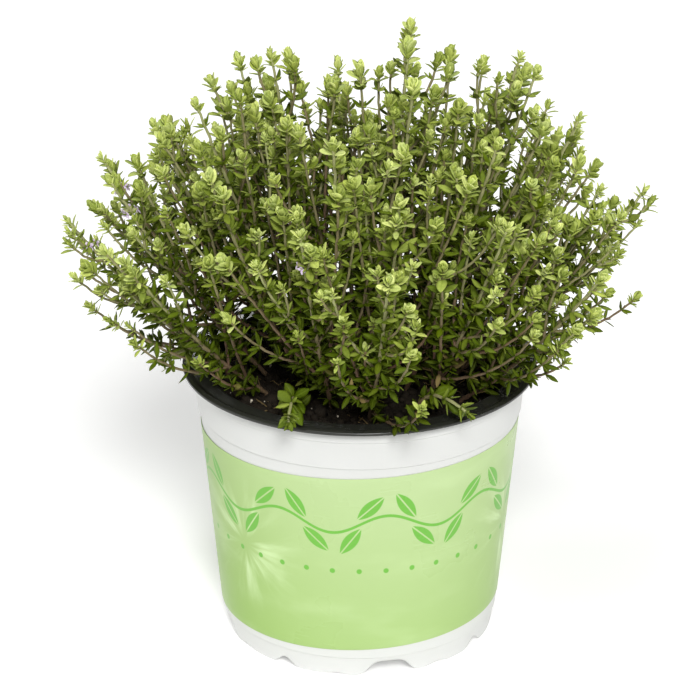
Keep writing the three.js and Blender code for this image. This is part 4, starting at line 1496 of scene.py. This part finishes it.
class THYME_OT_stems(bpy.types.Operator):
    """Grow the leafy stems and the low sprigs along the lines of their solids"""

    bl_idname = "thyme.stems"
    bl_label = "Grow the stems"

    def execute(self, context):
        settings = context.scene.thyme_plant
        materials = [wood_look(settings), leaf_look(settings), petal_look(settings.petal)]
        nodes = [f"thyme_stem_{i + 1:02d}" for i in range(STEMS)]
        nodes += [f"rim_sprig_{k + 1}" for k in range(len(SPRIGS))]
        for number, node in enumerate(nodes):
            leafy_stem(number, node, settings, materials)
        return {"FINISHED"}


class THYME_OT_studio(bpy.types.Operator):
    """Lay the pale floor, hang the soft lights and set up the camera"""

    bl_idname = "thyme.studio"
    bl_label = "Set up the studio"

    def execute(self, context):
        settings = context.scene.thyme_studio
        studio_floor(settings)
        studio_light(context.scene, settings)
        studio_camera(context.scene, settings)
        return {"FINISHED"}


# ---- Studio ----

FLOOR_REACH = 3.0
FLOOR_POINTS = 13
SENSOR = 36  # in millimetres
LENS = 152.6  # with that sensor this gives the photograph's narrow view
FOCAL_PIXELS = 2950
RIM_PIXEL = (359.6, 357.2)  # where the middle of the rim shows
FRAME_PIXELS = 696


def studio_floor(settings):
    """A level sheet of paper under the pot, as a grid of squares."""
    x, y = np.meshgrid(*[np.linspace(-FLOOR_REACH, FLOOR_REACH, FLOOR_POINTS)] * 2)
    ids = np.arange(x.size).reshape(x.shape)
    corners = [ids[:-1, :-1], ids[:-1, 1:], ids[1:, 1:], ids[1:, :-1]]
    quads = np.stack(corners, axis=-1).reshape(-1, 4)
    points = np.column_stack([x.ravel(), y.ravel(), np.zeros(x.size)])
    paper = mesh_object("studio_floor", points, quads)
    paper.data.materials.append(floor_look(settings.floor, settings.glow))


def aimed(item, place, target):
    item.location = place
    item.rotation_mode = "QUATERNION"
    item.rotation_quaternion = (Vector(target) - Vector(place)).to_track_quat("-Z", "Y")


def studio_light(scene, settings):
    world = bpy.data.worlds.new("Soft sky")
    world.use_nodes = True
    background = world.node_tree.nodes["Background"].inputs
    background["Color"].default_value = (1, 1, 1, 1)
    background["Strength"].default_value = settings.sky
    scene.world = world
    for name, power, place in (
        ("Key", settings.key, (0.12, -1.0, 0.82)),
        ("Top", settings.top, (-0.4, -0.6, 1.4)),
        ("Left", settings.side, (-1.0, -0.1, 0.45)),
        ("Right", settings.side, (1.0, -0.1, 0.45)),
        ("Back", settings.back, (-0.2, 1.0, 0.6)),
    ):
        lamp = bpy.data.lights.new(name, "SUN")
        lamp.energy = power
        lamp.angle = settings.softness
        item = bpy.data.objects.new(name, lamp)
        scene.collection.objects.link(item)
        aimed(item, place, (0, 0, 0))


def studio_camera(scene, settings):
    """The camera looks slightly past the middle of the rim, which puts it where the photograph has it."""
    elevation = settings.elevation
    back = np.array([0, -math.cos(elevation), math.sin(elevation)])
    up = np.array([0, math.sin(elevation), math.cos(elevation)])
    right, down = (p - FRAME_PIXELS / 2 for p in RIM_PIXEL)
    per_pixel = settings.distance / FOCAL_PIXELS
    target = CENTRE + up * down * per_pixel - np.array([1, 0, 0]) * right * per_pixel
    camera = bpy.data.cameras.new("Camera")
    camera.lens = LENS
    camera.sensor_width = SENSOR
    camera.clip_start = 0.05
    item = bpy.data.objects.new("Camera", camera)
    scene.collection.objects.link(item)
    aimed(item, CENTRE + back * settings.distance, target)
    scene.camera = item
    scene.view_settings.view_transform = "Standard"


# ---- Panel and registration ----


class THYME_PT_panel(bpy.types.Panel):
    """Lists the pieces and their settings"""

    bl_idname = "THYME_PT_panel"
    bl_label = "Potted thyme"
    bl_space_type = "VIEW_3D"
    bl_region_type = "UI"
    bl_category = "Thyme"

    def draw(self, context):
        for name, _, operator in GROUPS:
            box = self.layout.box()
            group = getattr(context.scene, name)
            for key in group.__annotations__:
                box.prop(group, key)
            box.operator(operator.bl_idname)


GROUPS = (
    ("thyme_pots", ThymePots, THYME_OT_pots),
    ("thyme_label", ThymeLabel, THYME_OT_label),
    ("thyme_soil", ThymeSoil, THYME_OT_soil),
    ("thyme_plant", ThymePlant, THYME_OT_stems),
    ("thyme_studio", ThymeStudio, THYME_OT_studio),
)
CLASSES = (*(kind for _, *kinds in GROUPS for kind in kinds), THYME_PT_panel)


def register():
    for item in CLASSES:
        bpy.utils.register_class(item)
    for name, group, _ in GROUPS:
        setattr(bpy.types.Scene, name, PointerProperty(type=group))


def unregister():
    for name, _, _ in GROUPS:
        delattr(bpy.types.Scene, name)
    for item in reversed(CLASSES):
        bpy.utils.unregister_class(item)


def main():
    register()
    bpy.ops.thyme.pots()
    bpy.ops.thyme.label()
    bpy.ops.thyme.soil()
    bpy.ops.thyme.stems()
    bpy.ops.thyme.studio()


if __name__ == "__main__":
    main()
